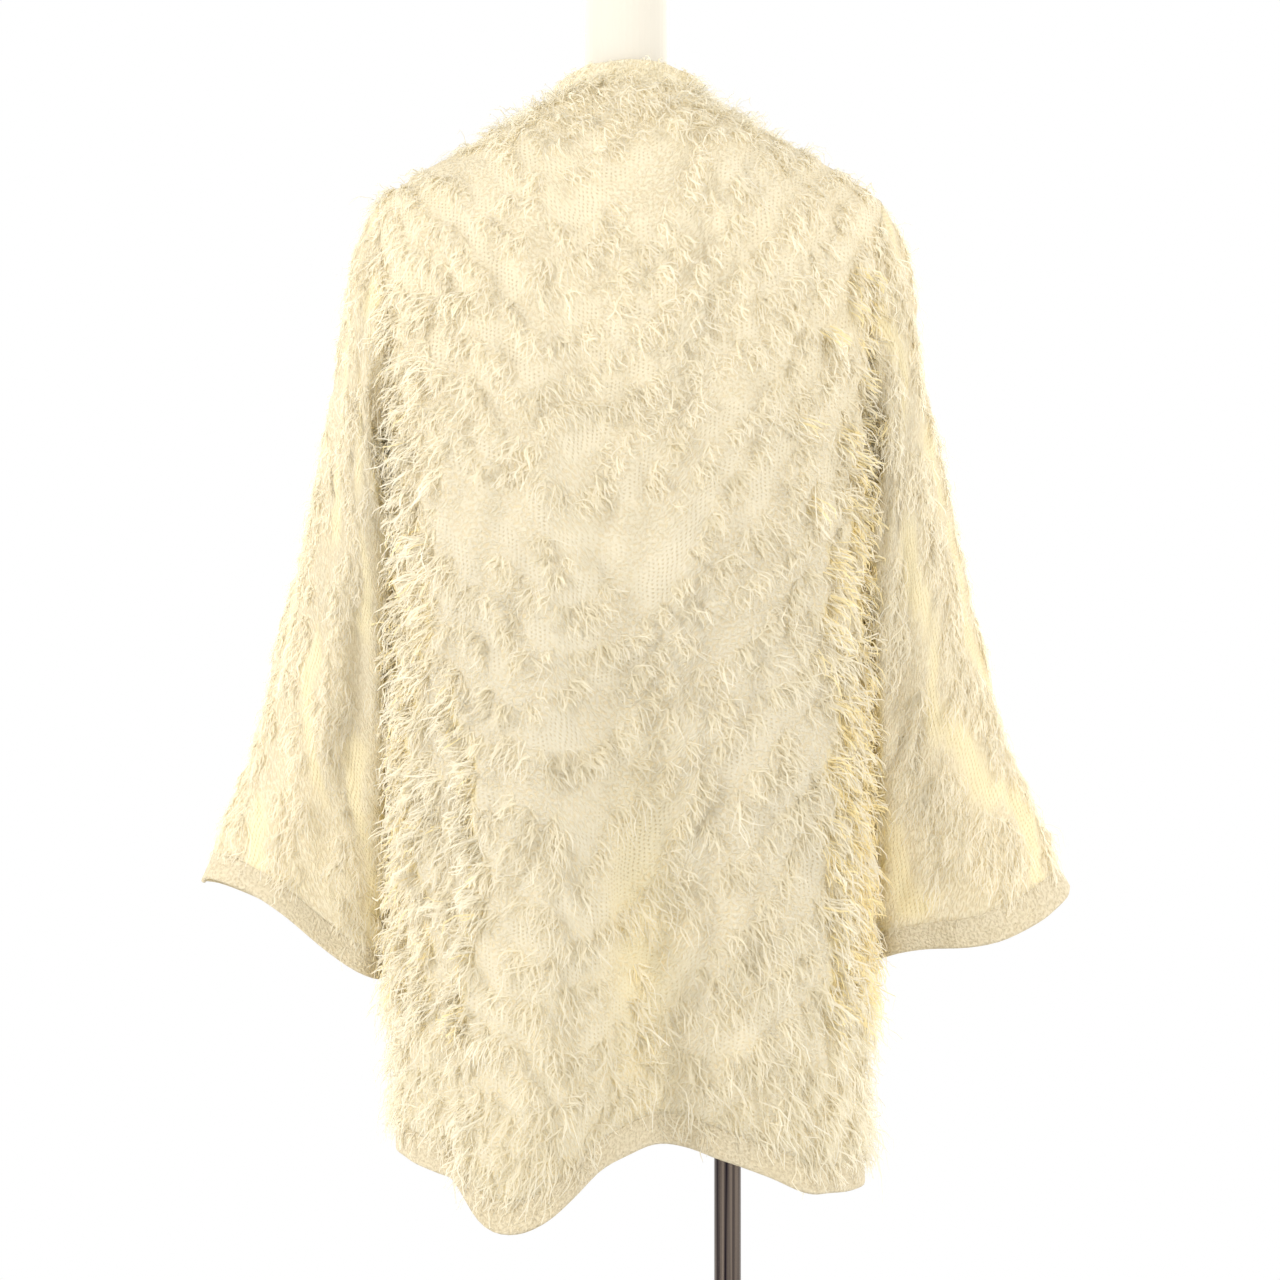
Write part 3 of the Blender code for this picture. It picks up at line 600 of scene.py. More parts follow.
def strip(name, P, thickness, closed=False, seed=0.0, wobble=0.0007):
    """A plain band with two rounded edges: rows run from edge to edge, columns along it."""
    rows, cols = P.shape[:2]
    N = unit(np.cross(steps(P, 1, closed), steps(P, 0)))
    P = P.copy()
    r = thickness / 2
    s = np.arange(cols)[None, :, None] * (2 * math.pi / cols)
    P = P + N * wobble * (np.sin(7 * s + seed) + np.sin(13 * s + 2 * seed)) \
        * np.linspace(0, 1, rows)[:, None, None]
    first, last = unit(P[0] - P[1]), unit(P[-1] - P[-2])
    P[0] -= first * r
    P[-1] -= last * r
    ring = [P[i] + N[i] * r for i in range(rows)]
    for a in (45, 0, -45):
        ring.append(P[-1] + (last * math.cos(math.radians(a)) + N[-1] * math.sin(math.radians(a))) * r)
    ring += [P[i] - N[i] * r for i in range(rows - 1, -1, -1)]
    for a in (-45, 0, 45):
        ring.append(P[0] + (first * math.cos(math.radians(a)) + N[0] * math.sin(math.radians(a))) * r)
    ring = np.array(ring)
    count = len(ring)
    ids = np.arange(count * cols).reshape(count, cols)
    length = np.concatenate([[0], np.cumsum(np.linalg.norm(np.diff(P[rows // 2], axis=0), axis=1))])
    girth = np.concatenate([[0], np.cumsum(np.linalg.norm(np.diff(ring[:, cols // 2], axis=0), axis=1))])
    uv = np.stack(np.meshgrid(length, girth), axis=-1)
    ids = np.vstack([ids, ids[:1]])
    uv = np.concatenate([uv, uv[-1:] + (0, thickness / 3)])
    if closed:
        ids = np.hstack([ids, ids[:, :1]])
        uv = np.concatenate([uv, uv[:, -1:] + (length[-1] - length[-2], 0)], axis=1)
    faces, uvs = quads(ids, uv)
    loops, starts, uvs = faces.ravel(), np.arange(len(faces)) * 4, uvs.reshape(-1, 2)
    if not closed:
        for c in (0, cols - 1):
            starts = np.append(starts, len(loops))
            loops = np.append(loops, ids[:-1, c])
            uvs = np.vstack([uvs, uv[:-1, c]])
    ob = face_out(new_mesh(name, ring.reshape(-1, 3), loops, starts, uvs))
    for word, value in (("zone", 0.75), ("warm", 0.0), ("shade", 0.0)):
        layer = ob.data.attributes.new(word, "FLOAT", "POINT")
        layer.data.foreach_set("value", np.full(len(ob.data.vertices), value, dtype=np.float32))
    return ob


# ---------------------------------------------------------------- fringe
DOWN = np.array((0.0, 0.0, -1.0))


def at(grid, i, j, s, t, closed):
    """Value of a grid at a place inside its faces."""
    k = (j + 1) % grid.shape[1] if closed else j + 1
    if grid.ndim == 3:
        s, t = s[:, None], t[:, None]
    return (grid[i, j] * (1 - s) * (1 - t) + grid[i, k] * s * (1 - t)
            + grid[i + 1, j] * (1 - s) * t + grid[i + 1, k] * s * t)


def beside_neck(pos):
    """1 at the ends of the shoulder seams beside the neck band, where the fringe fills the corner."""
    return smooth(0.125, 0.090, np.abs(pos[:, 0])) * smooth(1.312, 1.338, pos[:, 2])


Spots = namedtuple("Spots", "pos N U V p q side down left")


def beside_gap(pos, normal, way):
    """1 on the edges of body and sleeve beside the gap between them."""
    return smooth(0.62, 0.82, normal[:, 0] * way) * smooth(0.15, -0.10, normal[:, 1])


def scatter(panel, spacing, seed, rng, lines, keep, cover, gap_side):
    """Places of tufts on a panel, about one for each square of the spacing: on the lines of fringe
    at its top, and all over from the place down the panel that cover gives."""
    P = panel.P
    nxt = np.roll(P, -1, 1) if panel.closed else P[:, 1:]
    cur = P if panel.closed else P[:, :-1]
    area = np.linalg.norm(np.cross(nxt[:-1] - cur[:-1], cur[1:] - cur[:-1]), axis=2)
    total = area.sum()
    n = int(total / spacing ** 2 * 5)
    pick = rng.choice(area.size, n, p=(area / total).ravel())
    i, j = np.unravel_index(pick, area.shape)
    s, t = rng.random(n), rng.random(n)
    pgrid, qgrid = panel.p, panel.q
    if panel.closed:
        wide = pgrid[:, -1] + (pgrid[:, -1] - pgrid[:, -2])
        step = np.where(j + 1 == P.shape[1], wide[i], pgrid[i, (j + 1) % P.shape[1]])
        p = pgrid[i, j] * (1 - s) + step * s
    else:
        p = at(pgrid, i, j, s, t, False)
    q = at(qgrid, i, j, s, t, panel.closed)
    f, full, _, side = fringe_lines(p, q, seed, lines)
    down = (q - panel.q.min()) / (panel.q.max() - panel.q.min())
    pos = at(P, i, j, s, t, panel.closed)
    normal = unit(at(panel.N, i, j, s, t, panel.closed))
    here = smooth(-0.02, 0.08, f) * smooth(lines.roots, lines.roots * 0.7, f) * smooth(0.05, 0.22, full)
    here = here + (0.90 - here) * smooth(cover[0], cover[1], down + 0.10 * lumps(p, q, seed + 5))
    here = np.maximum(here, 0.9 * beside_neck(pos))
    here = np.maximum(here, beside_gap(pos, normal, gap_side(pos)) * (pos[:, 2] < 1.22) * (pos[:, 2] > 0.62))
    ok = rng.random(n) < here ** 2.5
    ok &= rng.random(n) < keep(pos, normal, p, q)
    cell = np.floor(p / spacing).astype(np.int64) * 100003 + np.floor(q / spacing).astype(np.int64)
    idx = np.flatnonzero(ok)
    _, first = np.unique(cell[idx], return_index=True)
    idx = np.sort(idx[first])
    i, j, s, t = i[idx], j[idx], s[idx], t[idx]
    U = unit(at(panel.U, i, j, s, t, panel.closed))
    V = unit(at(panel.V, i, j, s, t, panel.closed))
    left = at(panel.q[-1:] - panel.q, i, j, s, t, panel.closed)
    return Spots(pos[idx], normal[idx], U, V, p[idx], q[idx], side[idx], down[idx], left)


REACH = 0.05             # length of yarn over the height of the fringe's map


def yarn_ends(X, N, half, tone, L, rng, facing):
    """Vertices, loops, face starts, map and normals of cut yarn ends. X holds each end's points from
    its root to its tip and L its length. Each end is a narrow crinkled strip, rolled a little round its own length;
    its normals lean to the facing of its tuft, as in a round and fuzzy yarn."""
    S, K = X.shape[:2]
    T = unit(np.gradient(X, axis=1))
    side = unit(np.cross(T, N[:, None, :]))
    up = np.cross(side, T)
    roll = np.clip(rng.normal(0, 0.5, (S, 1, 1)) + np.linspace(-0.5, 0.5, K)[None, :, None] * rng.normal(0, 0.6, (S, 1, 1)),
                   -1.1, 1.1)
    across = side * np.cos(roll) + up * np.sin(roll)
    w = half[:, None, None] * np.interp(np.linspace(0, 1, K), [0, 0.7, 1.0], [1.0, 0.95, 0.55])[None, :, None]
    verts = np.stack([X - across * w, X + across * w], axis=2)
    verts[..., 1] = np.maximum(verts[..., 1], -0.2150)
    soft = unit(facing[:, None, :] + 0.35 * (up * np.cos(roll) - side * np.sin(roll)))
    normals = np.stack([soft - 0.25 * across, soft + 0.25 * across], axis=2)
    a = 2 * np.arange(K - 1)
    loops = np.stack([a, a + 1, a + 3, a + 2], axis=1).ravel()
    level = np.stack([a, a, a + 2, a + 2], axis=1).ravel() / (2.0 * (K - 1))
    n = len(loops)
    loops = loops[None] + np.arange(S)[:, None] * 2 * K
    starts = np.arange(S * (K - 1)) * 4
    uv = np.stack([np.broadcast_to(0.02 + 0.96 * tone[:, None], (S, n)),
                   0.02 + 0.96 * level[None] * np.minimum(1.0, L[:, None] / REACH)], axis=-1)
    return verts.reshape(-1, 3), loops.ravel(), starts, uv.reshape(-1, 2), unit(normals.reshape(-1, 3))


def joined(name, batches):
    """One mesh of several batches of yarn ends."""
    verts, loops, starts, uvs, normals = [], [], [], [], []
    nv = nl = 0
    for v, l, s, u, n in batches:
        verts.append(v)
        loops.append(l + nv)
        starts.append(s + nl)
        uvs.append(u)
        normals.append(n)
        nv += len(v)
        nl += len(l)
    ob = new_mesh(name, np.vstack(verts), np.concatenate(loops), np.concatenate(starts),
                  np.vstack(uvs), "OFBake")
    ob.data.normals_split_custom_set_from_vertices(np.vstack(normals).astype(np.float32))
    return ob


def tufts(spots, per, length, lift, comb, lean, rng, points=5, curl=0.11, sag=0.18, wide=1.0, stray=13,
          warm=0.0, gather=-0.16, jitter=18, crown_and_painted_shade=0.0, pale=0.5):
    """Yarn ends of the tufts at the spots. Each tuft is a short comb of yarn ends, side by side on
    a line of stitches, nearly parallel and raised towards their tips. length and lift are numbers
    for each spot; comb is half the width of a tuft; lean is how far the tufts turn to the side
    from straight down and stray how far the ends of one tuft differ, in degrees; warm is the
    share of ends painted yellower, a painted glow of light through and between the cloth, whose tones
    lie above the others in the fringe's map. With gather the ends of a tuft close up towards their
    tips; jitter is how far whole tufts differ, in degrees; crown_and_painted_shade is how round a tuft
    is across, in its lift and its normals, and how far painted shade darkens the ends at its edges and
    painted light lightens those in its middle; pale is how light its tone is."""
    n = len(spots.pos)
    turn = np.radians(lean) * spots.side + rng.normal(0, math.radians(jitter), n)
    size = np.clip(rng.normal(1.0, 0.22, n), 0.5, 1.6)
    rise = np.clip(rng.normal(1.0, 0.40, n), 0.25, 2.2)
    k = np.repeat(np.arange(n), per)
    S = len(k)
    N, U, V = spots.N[k], spots.U[k], spots.V[k]
    s = rng.uniform(-1, 1, S)
    d = rng.normal(0, 0.22 * comb, S)
    c, r = np.cos(turn[k])[:, None], np.sin(turn[k])[:, None]
    line = U * c - V * r
    root = spots.pos[k] + line * (s * comb)[:, None] + (V * c + U * r) * d[:, None] + N * (WALL / 2 + 0.0002)
    a = turn[k] - s * gather + rng.normal(0, math.radians(stray), S)
    way = V * np.cos(a)[:, None] + U * np.sin(a)[:, None]
    across = np.cross(N, way)
    L = (length * size)[k] * (1 - 0.25 * s * s) * np.clip(rng.normal(0.97, 0.14, S), 0.5, 1.4)
    rise = np.minimum(rise, np.maximum(0.011 / lift, 1.0))
    h = (lift * rise)[k] * (1 - (0.35 + 0.4 * crown_and_painted_shade) * s * s) * np.clip(rng.normal(1.0, 0.28, S), 0.2, 2.0)
    t = np.linspace(0, 1, points)[None, :, None]
    crinkle = np.cumsum(rng.normal(0, 1.0, (S, points, 2)), axis=1) * ((curl * np.ones(n))[k] * L)[:, None, None]
    crinkle[:, 0] = 0
    L3, h3 = L[:, None, None], h[:, None, None]
    swell = t ** 0.6 * (1.25 - 0.40 * t * t)
    rise_off = np.maximum(h3 * swell + crinkle[..., 1:] * 0.7, 0.0004 * t)
    X = (root[:, None] + way[:, None] * L3 * t * (1 - 0.10 * t) + N[:, None] * rise_off
         + across[:, None] * crinkle[..., :1] + DOWN * L3 * sag * t * t)
    half = YARN * 0.5 * (wide * np.ones(n))[k] * rng.uniform(0.75, 1.25, S)
    # Painted shade and light: a tuft's ends get a darker tone at its edges and a lighter one in its middle, for the
    # shade between tufts and the light on their rounded tops.
    tone = np.clip((pale + rng.normal(0, 0.18, n))[k] + 0.4 * crown_and_painted_shade * (0.45 - s * s) + rng.normal(0, 0.10, S), 0, 1)
    # Painted glow: a share of the ends move to the yellow tones at the top of the fringe's map, for light passing
    # through and between the cloth.
    tone = np.where(rng.random(S) < (warm * np.ones(n))[k], 0.85 + 0.15 * tone, 0.80 * tone)
    return yarn_ends(X, N, half, tone, L, rng, unit(N + (0.6 * crown_and_painted_shade * s)[:, None] * line))


# ---------------------------------------------------------------- materials
class Nodes:
    def __init__(self, name):
        self.mat = bpy.data.materials.new(name)
        self.mat.use_nodes = True
        self.tree = self.mat.node_tree
        self.shader = self.tree.nodes["Principled BSDF"]
        self.out = self.tree.nodes["Material Output"]

    def node(self, kind, **values):
        n = self.tree.nodes.new(kind)
        for k, v in values.items():
            setattr(n, k, v)
        return n

    def put(self, socket, value):
        if isinstance(value, bpy.types.NodeSocket):
            self.tree.links.new(value, socket)
        else:
            socket.default_value = value

    def math(self, op, a, b=None, c=None):
        n = self.node("ShaderNodeMath", operation=op)
        for s, v in zip(n.inputs, (a, b, c)):
            if v is not None:
                self.put(s, v)
        return n.outputs[0]

    def mix(self, f, a, b):
        n = self.node("ShaderNodeMix", data_type="RGBA")
        self.put(n.inputs["Factor"], f)
        self.put(n.inputs[6], a if isinstance(a, bpy.types.NodeSocket) else (*a, 1.0))
        self.put(n.inputs[7], b if isinstance(b, bpy.types.NodeSocket) else (*b, 1.0))
        return n.outputs[2]

    def range(self, v, low, high, to_low=0.0, to_high=1.0):
        n = self.node("ShaderNodeMapRange")
        for s, x in zip(n.inputs, (v, low, high, to_low, to_high)):
            self.put(s, x)
        return n.outputs[0]

    def noise(self, vector, scale, detail=3.0, rough=0.55):
        n = self.node("ShaderNodeTexNoise")
        self.put(n.inputs["Vector"], vector)
        n.inputs["Scale"].default_value = scale
        n.inputs["Detail"].default_value = detail
        n.inputs["Roughness"].default_value = rough
        return n.outputs["Fac"]

    def spread(self, vector, scale, reach):
        """A small push in all directions, to make a pattern uneven."""
        n = self.node("ShaderNodeTexNoise")
        self.put(n.inputs["Vector"], vector)
        n.inputs["Scale"].default_value = scale
        off = self.node("ShaderNodeVectorMath", operation="SUBTRACT")
        self.put(off.inputs[0], n.outputs["Color"])
        off.inputs[1].default_value = (0.5, 0.5, 0.5)
        by = self.node("ShaderNodeVectorMath", operation="SCALE")
        self.put(by.inputs[0], off.outputs[0])
        by.inputs["Scale"].default_value = reach
        return by.outputs[0]

    def bump(self, height, strength, distance):
        n = self.node("ShaderNodeBump")
        self.put(n.inputs["Height"], height)
        n.inputs["Strength"].default_value = strength
        n.inputs["Distance"].default_value = distance
        self.put(self.shader.inputs["Normal"], n.outputs[0])
        return n.outputs[0]

    def set(self, **values):
        for k, v in values.items():
            self.put(self.shader.inputs[k.replace("_", " ")], v)

    def translucent(self, colour, share, normal=None):
        t = self.node("ShaderNodeBsdfTranslucent")
        self.put(t.inputs["Color"], colour)
        if normal is not None:
            self.put(t.inputs["Normal"], normal)
        m = self.node("ShaderNodeMixShader")
        m.inputs[0].default_value = share
        self.tree.links.new(self.shader.outputs[0], m.inputs[1])
        self.tree.links.new(t.outputs[0], m.inputs[2])
        self.tree.links.new(m.outputs[0], self.out.inputs["Surface"])


def knit(name, light, dark, wale, course, share, depth, curls=False):
    """Stockinette: columns of small V stitches with little gaps between them. With curls, the
    ground between the plain diamonds is a grain of tight curls, the bound ends of the fringe."""
    m = Nodes(name)
    uv = m.node("ShaderNodeUVMap", uv_map="UVMap").outputs[0]
    split = m.node("ShaderNodeSeparateXYZ")
    m.put(split.inputs[0], uv)
    x, y = split.outputs[0], split.outputs[1]
    wander = m.range(m.noise(uv, 60.0), 0.3, 0.7, -0.35, 0.35)
    u = m.math("ADD", m.math("DIVIDE", x, wale), wander)
    column = m.math("FLOOR", m.math("ADD", u, 0.5))
    off = m.math("ABSOLUTE", m.math("SUBTRACT", m.math("FRACT", u), 0.5))
    v = m.math("ADD", m.math("DIVIDE", y, course), m.math("MULTIPLY", wander, 0.7))
    hole = m.math("COSINE", m.math("MULTIPLY", m.math("ADD", v, m.math("MULTIPLY", column, 0.5)), 2 * math.pi))
    hole = m.math("MULTIPLY", m.range(off, 0.20, 0.46), m.range(hole, -0.35, 0.75))
    leg = m.math("FRACT", m.math("ADD", v, m.math("MULTIPLY", off, -1.2)))
    leg = m.range(m.math("SINE", m.math("MULTIPLY", leg, math.pi)), 0.0, 0.5, 0.72, 1.0)
    height = m.math("MULTIPLY", m.math("SUBTRACT", 1.0, hole), leg)
    fibre = m.noise(uv, 2600.0, 2.0)
    if curls:
        zone = m.node("ShaderNodeAttribute", attribute_name="zone").outputs["Fac"]
        warp = m.node("ShaderNodeVectorMath", operation="ADD")
        m.put(warp.inputs[0], uv)
        m.put(warp.inputs[1], m.spread(uv, 300.0, 0.0030))
        grain = m.range(m.noise(warp.outputs[0], 400.0, 2.0, 0.5), 0.38, 0.60)
        blend = m.node("ShaderNodeMix", data_type="FLOAT")
        m.put(blend.inputs["Factor"], zone)
        m.put(blend.inputs[2], height)
        m.put(blend.inputs[3], grain)
        height = blend.outputs[0]
    patch = m.noise(uv, 26.0, 4.0)
    tint = m.mix(m.range(patch, 0.3, 0.7), light, tuple(c * k for c, k in zip(light, (0.96, 0.945, 0.90))))
    deep = dark
    if curls:
        warm = m.node("ShaderNodeAttribute", attribute_name="warm").outputs["Fac"]
        shade = m.node("ShaderNodeAttribute", attribute_name="shade").outputs["Fac"]
        # Painted shade: the panel's colour darkens towards its hem.
        tint = m.mix(shade, tint, tuple(c * k for c, k in zip(light, (0.845, 0.85, 0.865))))
        # Painted glow: yellow mixed into the yarn and the stitch gaps where light would pass through and bounce between
        # the cloth.
        tint = m.mix(warm, tint, (1.0, 0.90, 0.56))
        deep = m.mix(zone, dark, tuple(0.3 * a + 0.7 * b for a, b in zip(light, dark)))
        deep = m.mix(warm, deep, (0.94, 0.78, 0.40))
    colour = m.mix(m.range(height, 0.0, 0.75), deep, tint)
    m.set(Base_Color=colour, Roughness=m.range(fibre, 0.2, 0.8, 0.78, 0.95),
          Sheen_Weight=0.15, Sheen_Roughness=0.5, Sheen_Tint=(1.0, 0.96, 0.86, 1.0))
    m.shader.inputs["Specular IOR Level"].default_value = 0.15
    normal = m.bump(m.math("ADD", height, m.math("MULTIPLY", fibre, 0.25)), 0.7, depth)
    through = m.mix(0.75, colour, (0.99, 0.90, 0.60))
    m.translucent(through, share, normal)
    return m.mat


def fringe_material():
    """Cut yarn: a little deeper and yellower in colour at the root, paler at the tip."""
    m = Nodes("fringe_yarn")
    uv = m.node("ShaderNodeUVMap", uv_map="OFBake").outputs[0]
    split = m.node("ShaderNodeSeparateXYZ")
    m.put(split.inputs[0], uv)
    tone, along_it = m.range(split.outputs[0], 0.02, 0.79), split.outputs[1]
    # Painted glow: ends whose tones lie above the others take the yellow of light passing through and between the
    # cloth.
    warm = m.range(split.outputs[0], 0.80, 0.825)
    root = m.mix(tone, (0.855, 0.803, 0.652), (0.98, 0.935, 0.800))
    tip = m.mix(tone, (0.870, 0.838, 0.735), (0.985, 0.962, 0.885))
    ply = m.math("SINE", m.math("ADD", m.math("MULTIPLY", along_it, 75.0), m.math("MULTIPLY", tone, 90.0)))
    colour = m.mix(m.range(along_it, 0.05, 0.6), root, tip)
    colour = m.mix(m.range(ply, -1.0, 1.0, 0.18, 0.0), colour, (0.80, 0.70, 0.48))
    colour = m.mix(m.math("MULTIPLY", warm, 0.85), colour, (1.0, 0.88, 0.53))
    m.set(Base_Color=colour, Roughness=m.range(ply, -1.0, 1.0, 0.80, 0.92), Sheen_Weight=0.1,
          Sheen_Roughness=0.45, Sheen_Tint=(1.0, 0.97, 0.90, 1.0))
    m.shader.inputs["Specular IOR Level"].default_value = 0.1
    m.translucent(colour, 0.58)
    return m.mat


def object_coordinates(m, scale):
    tc = m.node("ShaderNodeTexCoord").outputs["Object"]
    mp = m.node("ShaderNodeMapping")
    m.put(mp.inputs["Vector"], tc)
    mp.inputs["Scale"].default_value = scale
    return mp.outputs[0]


def cover_material():
    """The form's cover: smooth ivory jersey, faintly uneven."""
    m = Nodes("form_cover_look")
    c = object_coordinates(m, (1, 1, 1))
    cloud = m.noise(c, 9.0, 4.0)
    weave = m.noise(object_coordinates(m, (1.0, 1.0, 0.35)), 1500.0, 2.0)
    colour = m.mix(m.range(cloud, 0.3, 0.7), (0.57, 0.535, 0.46), (0.555, 0.52, 0.445))
    m.set(Base_Color=colour, Roughness=m.range(weave, 0.2, 0.8, 0.55, 0.72), Sheen_Weight=0.15)
    m.bump(weave, 0.25, 0.0006)
    return m.mat


def metal_material(name, dark, light, rough, streak):
    """Dark polished metal with fine lines along its length."""
    m = Nodes(name)
    lines = m.noise(object_coordinates(m, streak), 40.0, 2.0, 0.5)
    colour = m.mix(m.range(lines, 0.40, 0.60), dark, light)
    m.set(Base_Color=colour, Metallic=1.0, Roughness=m.range(lines, 0.2, 0.8, rough * 0.8, rough * 1.25))
    m.bump(lines, 0.12, 0.0003)
    return m.mat


LIGHT, GAP = (0.945, 0.885, 0.722), (0.70, 0.59, 0.385)
KNIT = knit("panel_knit", LIGHT, GAP, 0.0037, 0.0033, 0.42, 0.0012, curls=True)
BAND = knit("plain_band_knit", (0.73, 0.65, 0.485), (0.48, 0.39, 0.24), 0.0036, 0.0032, 0.20, 0.0016, curls=True)
NECK = knit("neck_band_knit", (0.90, 0.835, 0.66), (0.62, 0.53, 0.345), 0.0034, 0.0030, 0.30, 0.0012, curls=True)
FRINGE = fringe_material()
COVER = cover_material()
POLE = metal_material("pole_metal_look", (0.014, 0.010, 0.016), (0.215, 0.172, 0.140), 0.20, (5.0, 5.0, 0.04))
PLATE = metal_material("base_metal_look", (0.11, 0.095, 0.095), (0.17, 0.15, 0.15), 0.32, (1.0, 1.0, 1.0))

for node, look in (("form_torso", COVER), ("pole_socket", POLE), ("pole", POLE), ("base_plate", PLATE)):
    ob = frame["nodes"][node]
    ob.data.materials.clear()
    ob.data.materials.append(look)


def dress(ob, look, node=None):
    ob.data.materials.append(look)
    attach(ob, "root")
    if node:
        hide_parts(node)
    return ob


TRIANGLES = {}


def fringed(word, panel, seed, lines, spacing, per, rng, keep, gap_side, lean=40, cover=(0.80, 1.20),
            short=0.0175, long=0.026, flat=0.0034, full=0.0040, below=0.014, comb=0.0052,
            painted_hem_shade=0.58, points=5, wide=0.95, curl=0.13):
    """The fringe of one panel: shorter and flatter at the top, longer and fuller at the hem, and
    standing out where gap_side says that the gap between body and sleeve is.
    Most tips end no further than below past the panel's lower edge."""
    part = scatter(panel, spacing, seed, rng, lines, keep, cover, gap_side)
    grow = smooth(0.30, 0.95, part.down)
    length = short + (long - short) * grow
    length = np.minimum(length, np.maximum(part.left + below, 0.006))
    lift = (flat + (full - flat) * grow) * np.minimum(1.0, 0.5 + part.left / 0.06)
    lift = lift + 0.005 * beside_neck(part.pos)
    edge = beside_gap(part.pos, part.N, gap_side(part.pos))
    right = part.pos[:, 0] > 0     # more painted yellow glow goes in the gap at the right
    # Painted glow: ends facing the gap between body and sleeve are painted yellow, for light passing through and
    # between the cloth there.
    warm = (0.30 + 0.60 * right) * facing_gap(part.pos, part.N, gap_side(part.pos))
    # Painted shade: tufts lower on the panel get darker tones, for less light falling low on the jacket; less so beside
    # the gap.
    pale = 0.66 - painted_hem_shade * smooth(0.10, 0.60, part.down) * (1 - 0.8 * edge)
    batches = [tufts(part, per, length * (1 + 0.15 * edge), lift + 0.0050 * edge, comb,
                     lean - 0.3 * lean * grow, rng, points=points, wide=wide, warm=warm, curl=curl - 0.03 * grow,
                     gather=0.14, jitter=10, crown_and_painted_shade=1.0, pale=pale)]
    out = (edge > 0.5) & (part.pos[:, 2] < 1.22) & (part.pos[:, 2] > 0.62)
    aside = Spots(*(v[out] for v in part))
    # The tufts that stand out over the gap get a pale tone, painted light against the shade of the gap, and a few ends
    # with the painted glow.
    batches.append(tufts(aside, 8, np.full(out.sum(), 0.018), np.full(out.sum(), 0.0140), spacing * 0.60,
                         lean, rng, points=4, sag=0.10, wide=1.4, warm=0.05 + 0.30 * right[out], pale=0.9))
    high = smooth(0.25, 0.55, part.N[:, 2])
    few = rng.random(len(part.p)) < 0.20 + 0.5 * high
    loose = Spots(*(v[few] for v in part))
    batches.append(tufts(loose, 1, length[few] * 0.8 + 0.008, lift[few] + 0.005 + 0.004 * high[few], 0.004, 20, rng, points=6,
                         curl=0.10, sag=0.10, wide=0.8, stray=25))
    return [dress(joined("fringe_" + word, batches), FRINGE)]


def lapped(rows, before):
    """The rows of a band with a first row added, lapped over the row before its seam."""
    run = before - rows[0]
    return np.concatenate([(rows[0] + unit(run) * LAP)[None], rows])


def count(ob):
    return sum(len(p.vertices) - 2 for p in ob.data.polygons)


rng = np.random.default_rng(83)

# back
BACK_LINES = Lines(45.0, 0.030, -0.065, 0.56, 0.40)
mid = len(back_cols) // 2
whole = Panel(back_g, (0, -1, 0), middle=mid, q_top=top_drop(back_cols, False))
panel = Panel(back_g[:ROW_BAND + 1], (0, -1, 0), middle=mid, q_top=top_drop(back_cols, False))
relief(panel, 1.0, BACK_CREASES, BACK_LINES)
# Painted glow: yellow painted where the back faces a sleeve and in a soft spot low in the trough down the middle of the
# back, for light bouncing between the cloth.
panel.warm = np.maximum(facing_gap(panel.P, panel.N, np.sign(panel.P[..., 0])),
                        0.40 * np.exp(-((panel.p - 0.012) / 0.030) ** 2 - ((panel.q - 0.690) / 0.120) ** 2))
dress(shell("knit_back", panel, WALL), KNIT, "back")


def clear_of_sleeve(pos, normal, p, q):
    """Fewer tufts where the body faces a sleeve and nothing shows."""
    hidden = (np.abs(normal[:, 0]) > 0.97) & (pos[:, 2] > 0.70) & (pos[:, 2] < 1.06)
    return np.where(hidden, 0.25, 1.0)


fringed("back", panel, 1.0, BACK_LINES, 0.0108, 9, rng, clear_of_sleeve,
                              lambda pos: np.sign(pos[:, 0]), short=0.0150, long=0.0225, points=4, wide=1.30,
                              curl=0.17)
dress(strip("band_hem_back", lapped(back_g[ROW_BAND:], back_g[ROW_BAND - 1]), BAND_WALL, seed=1.0),
                         BAND, "hem_band_back")

# fronts, their bands
FRONT_LINES = Lines(45.0, 0.030, 0.020, 0.56, 0.40)
for side, word in ((1, "right"), (-1, "left")):
    g = front_g[side]
    drop = top_drop([side * x for x in front_cols], True)
    panel = Panel(g[:ROW_BAND + 1, B:], (0, 1, 0), q_top=drop[:, B:])
    relief(panel, 3.0 + side, FRONT_CREASES, FRONT_LINES)
    # Painted glow: yellow painted where the front faces the sleeve.
    panel.warm = facing_gap(panel.P, panel.N, side)
    dress(shell("knit_front_" + word, panel, WALL), KNIT,
                                  "front_" + word)
    fringed("front_" + word, panel, 3.0 + side, FRONT_LINES, 0.0135, 13, rng,
                                           clear_of_sleeve, lambda pos: np.sign(pos[:, 0]))
    dress(strip("band_hem_front_" + word, lapped(g[ROW_BAND:, B:], g[ROW_BAND - 1, B:]), BAND_WALL, seed=2.0 + side),
                                BAND, "hem_band_front_" + word)
    dress(strip("band_front_" + word, g[:, :B + 1].transpose(1, 0, 2), BAND_WALL,
                                       seed=5.0 + side), BAND, "front_band_" + word)

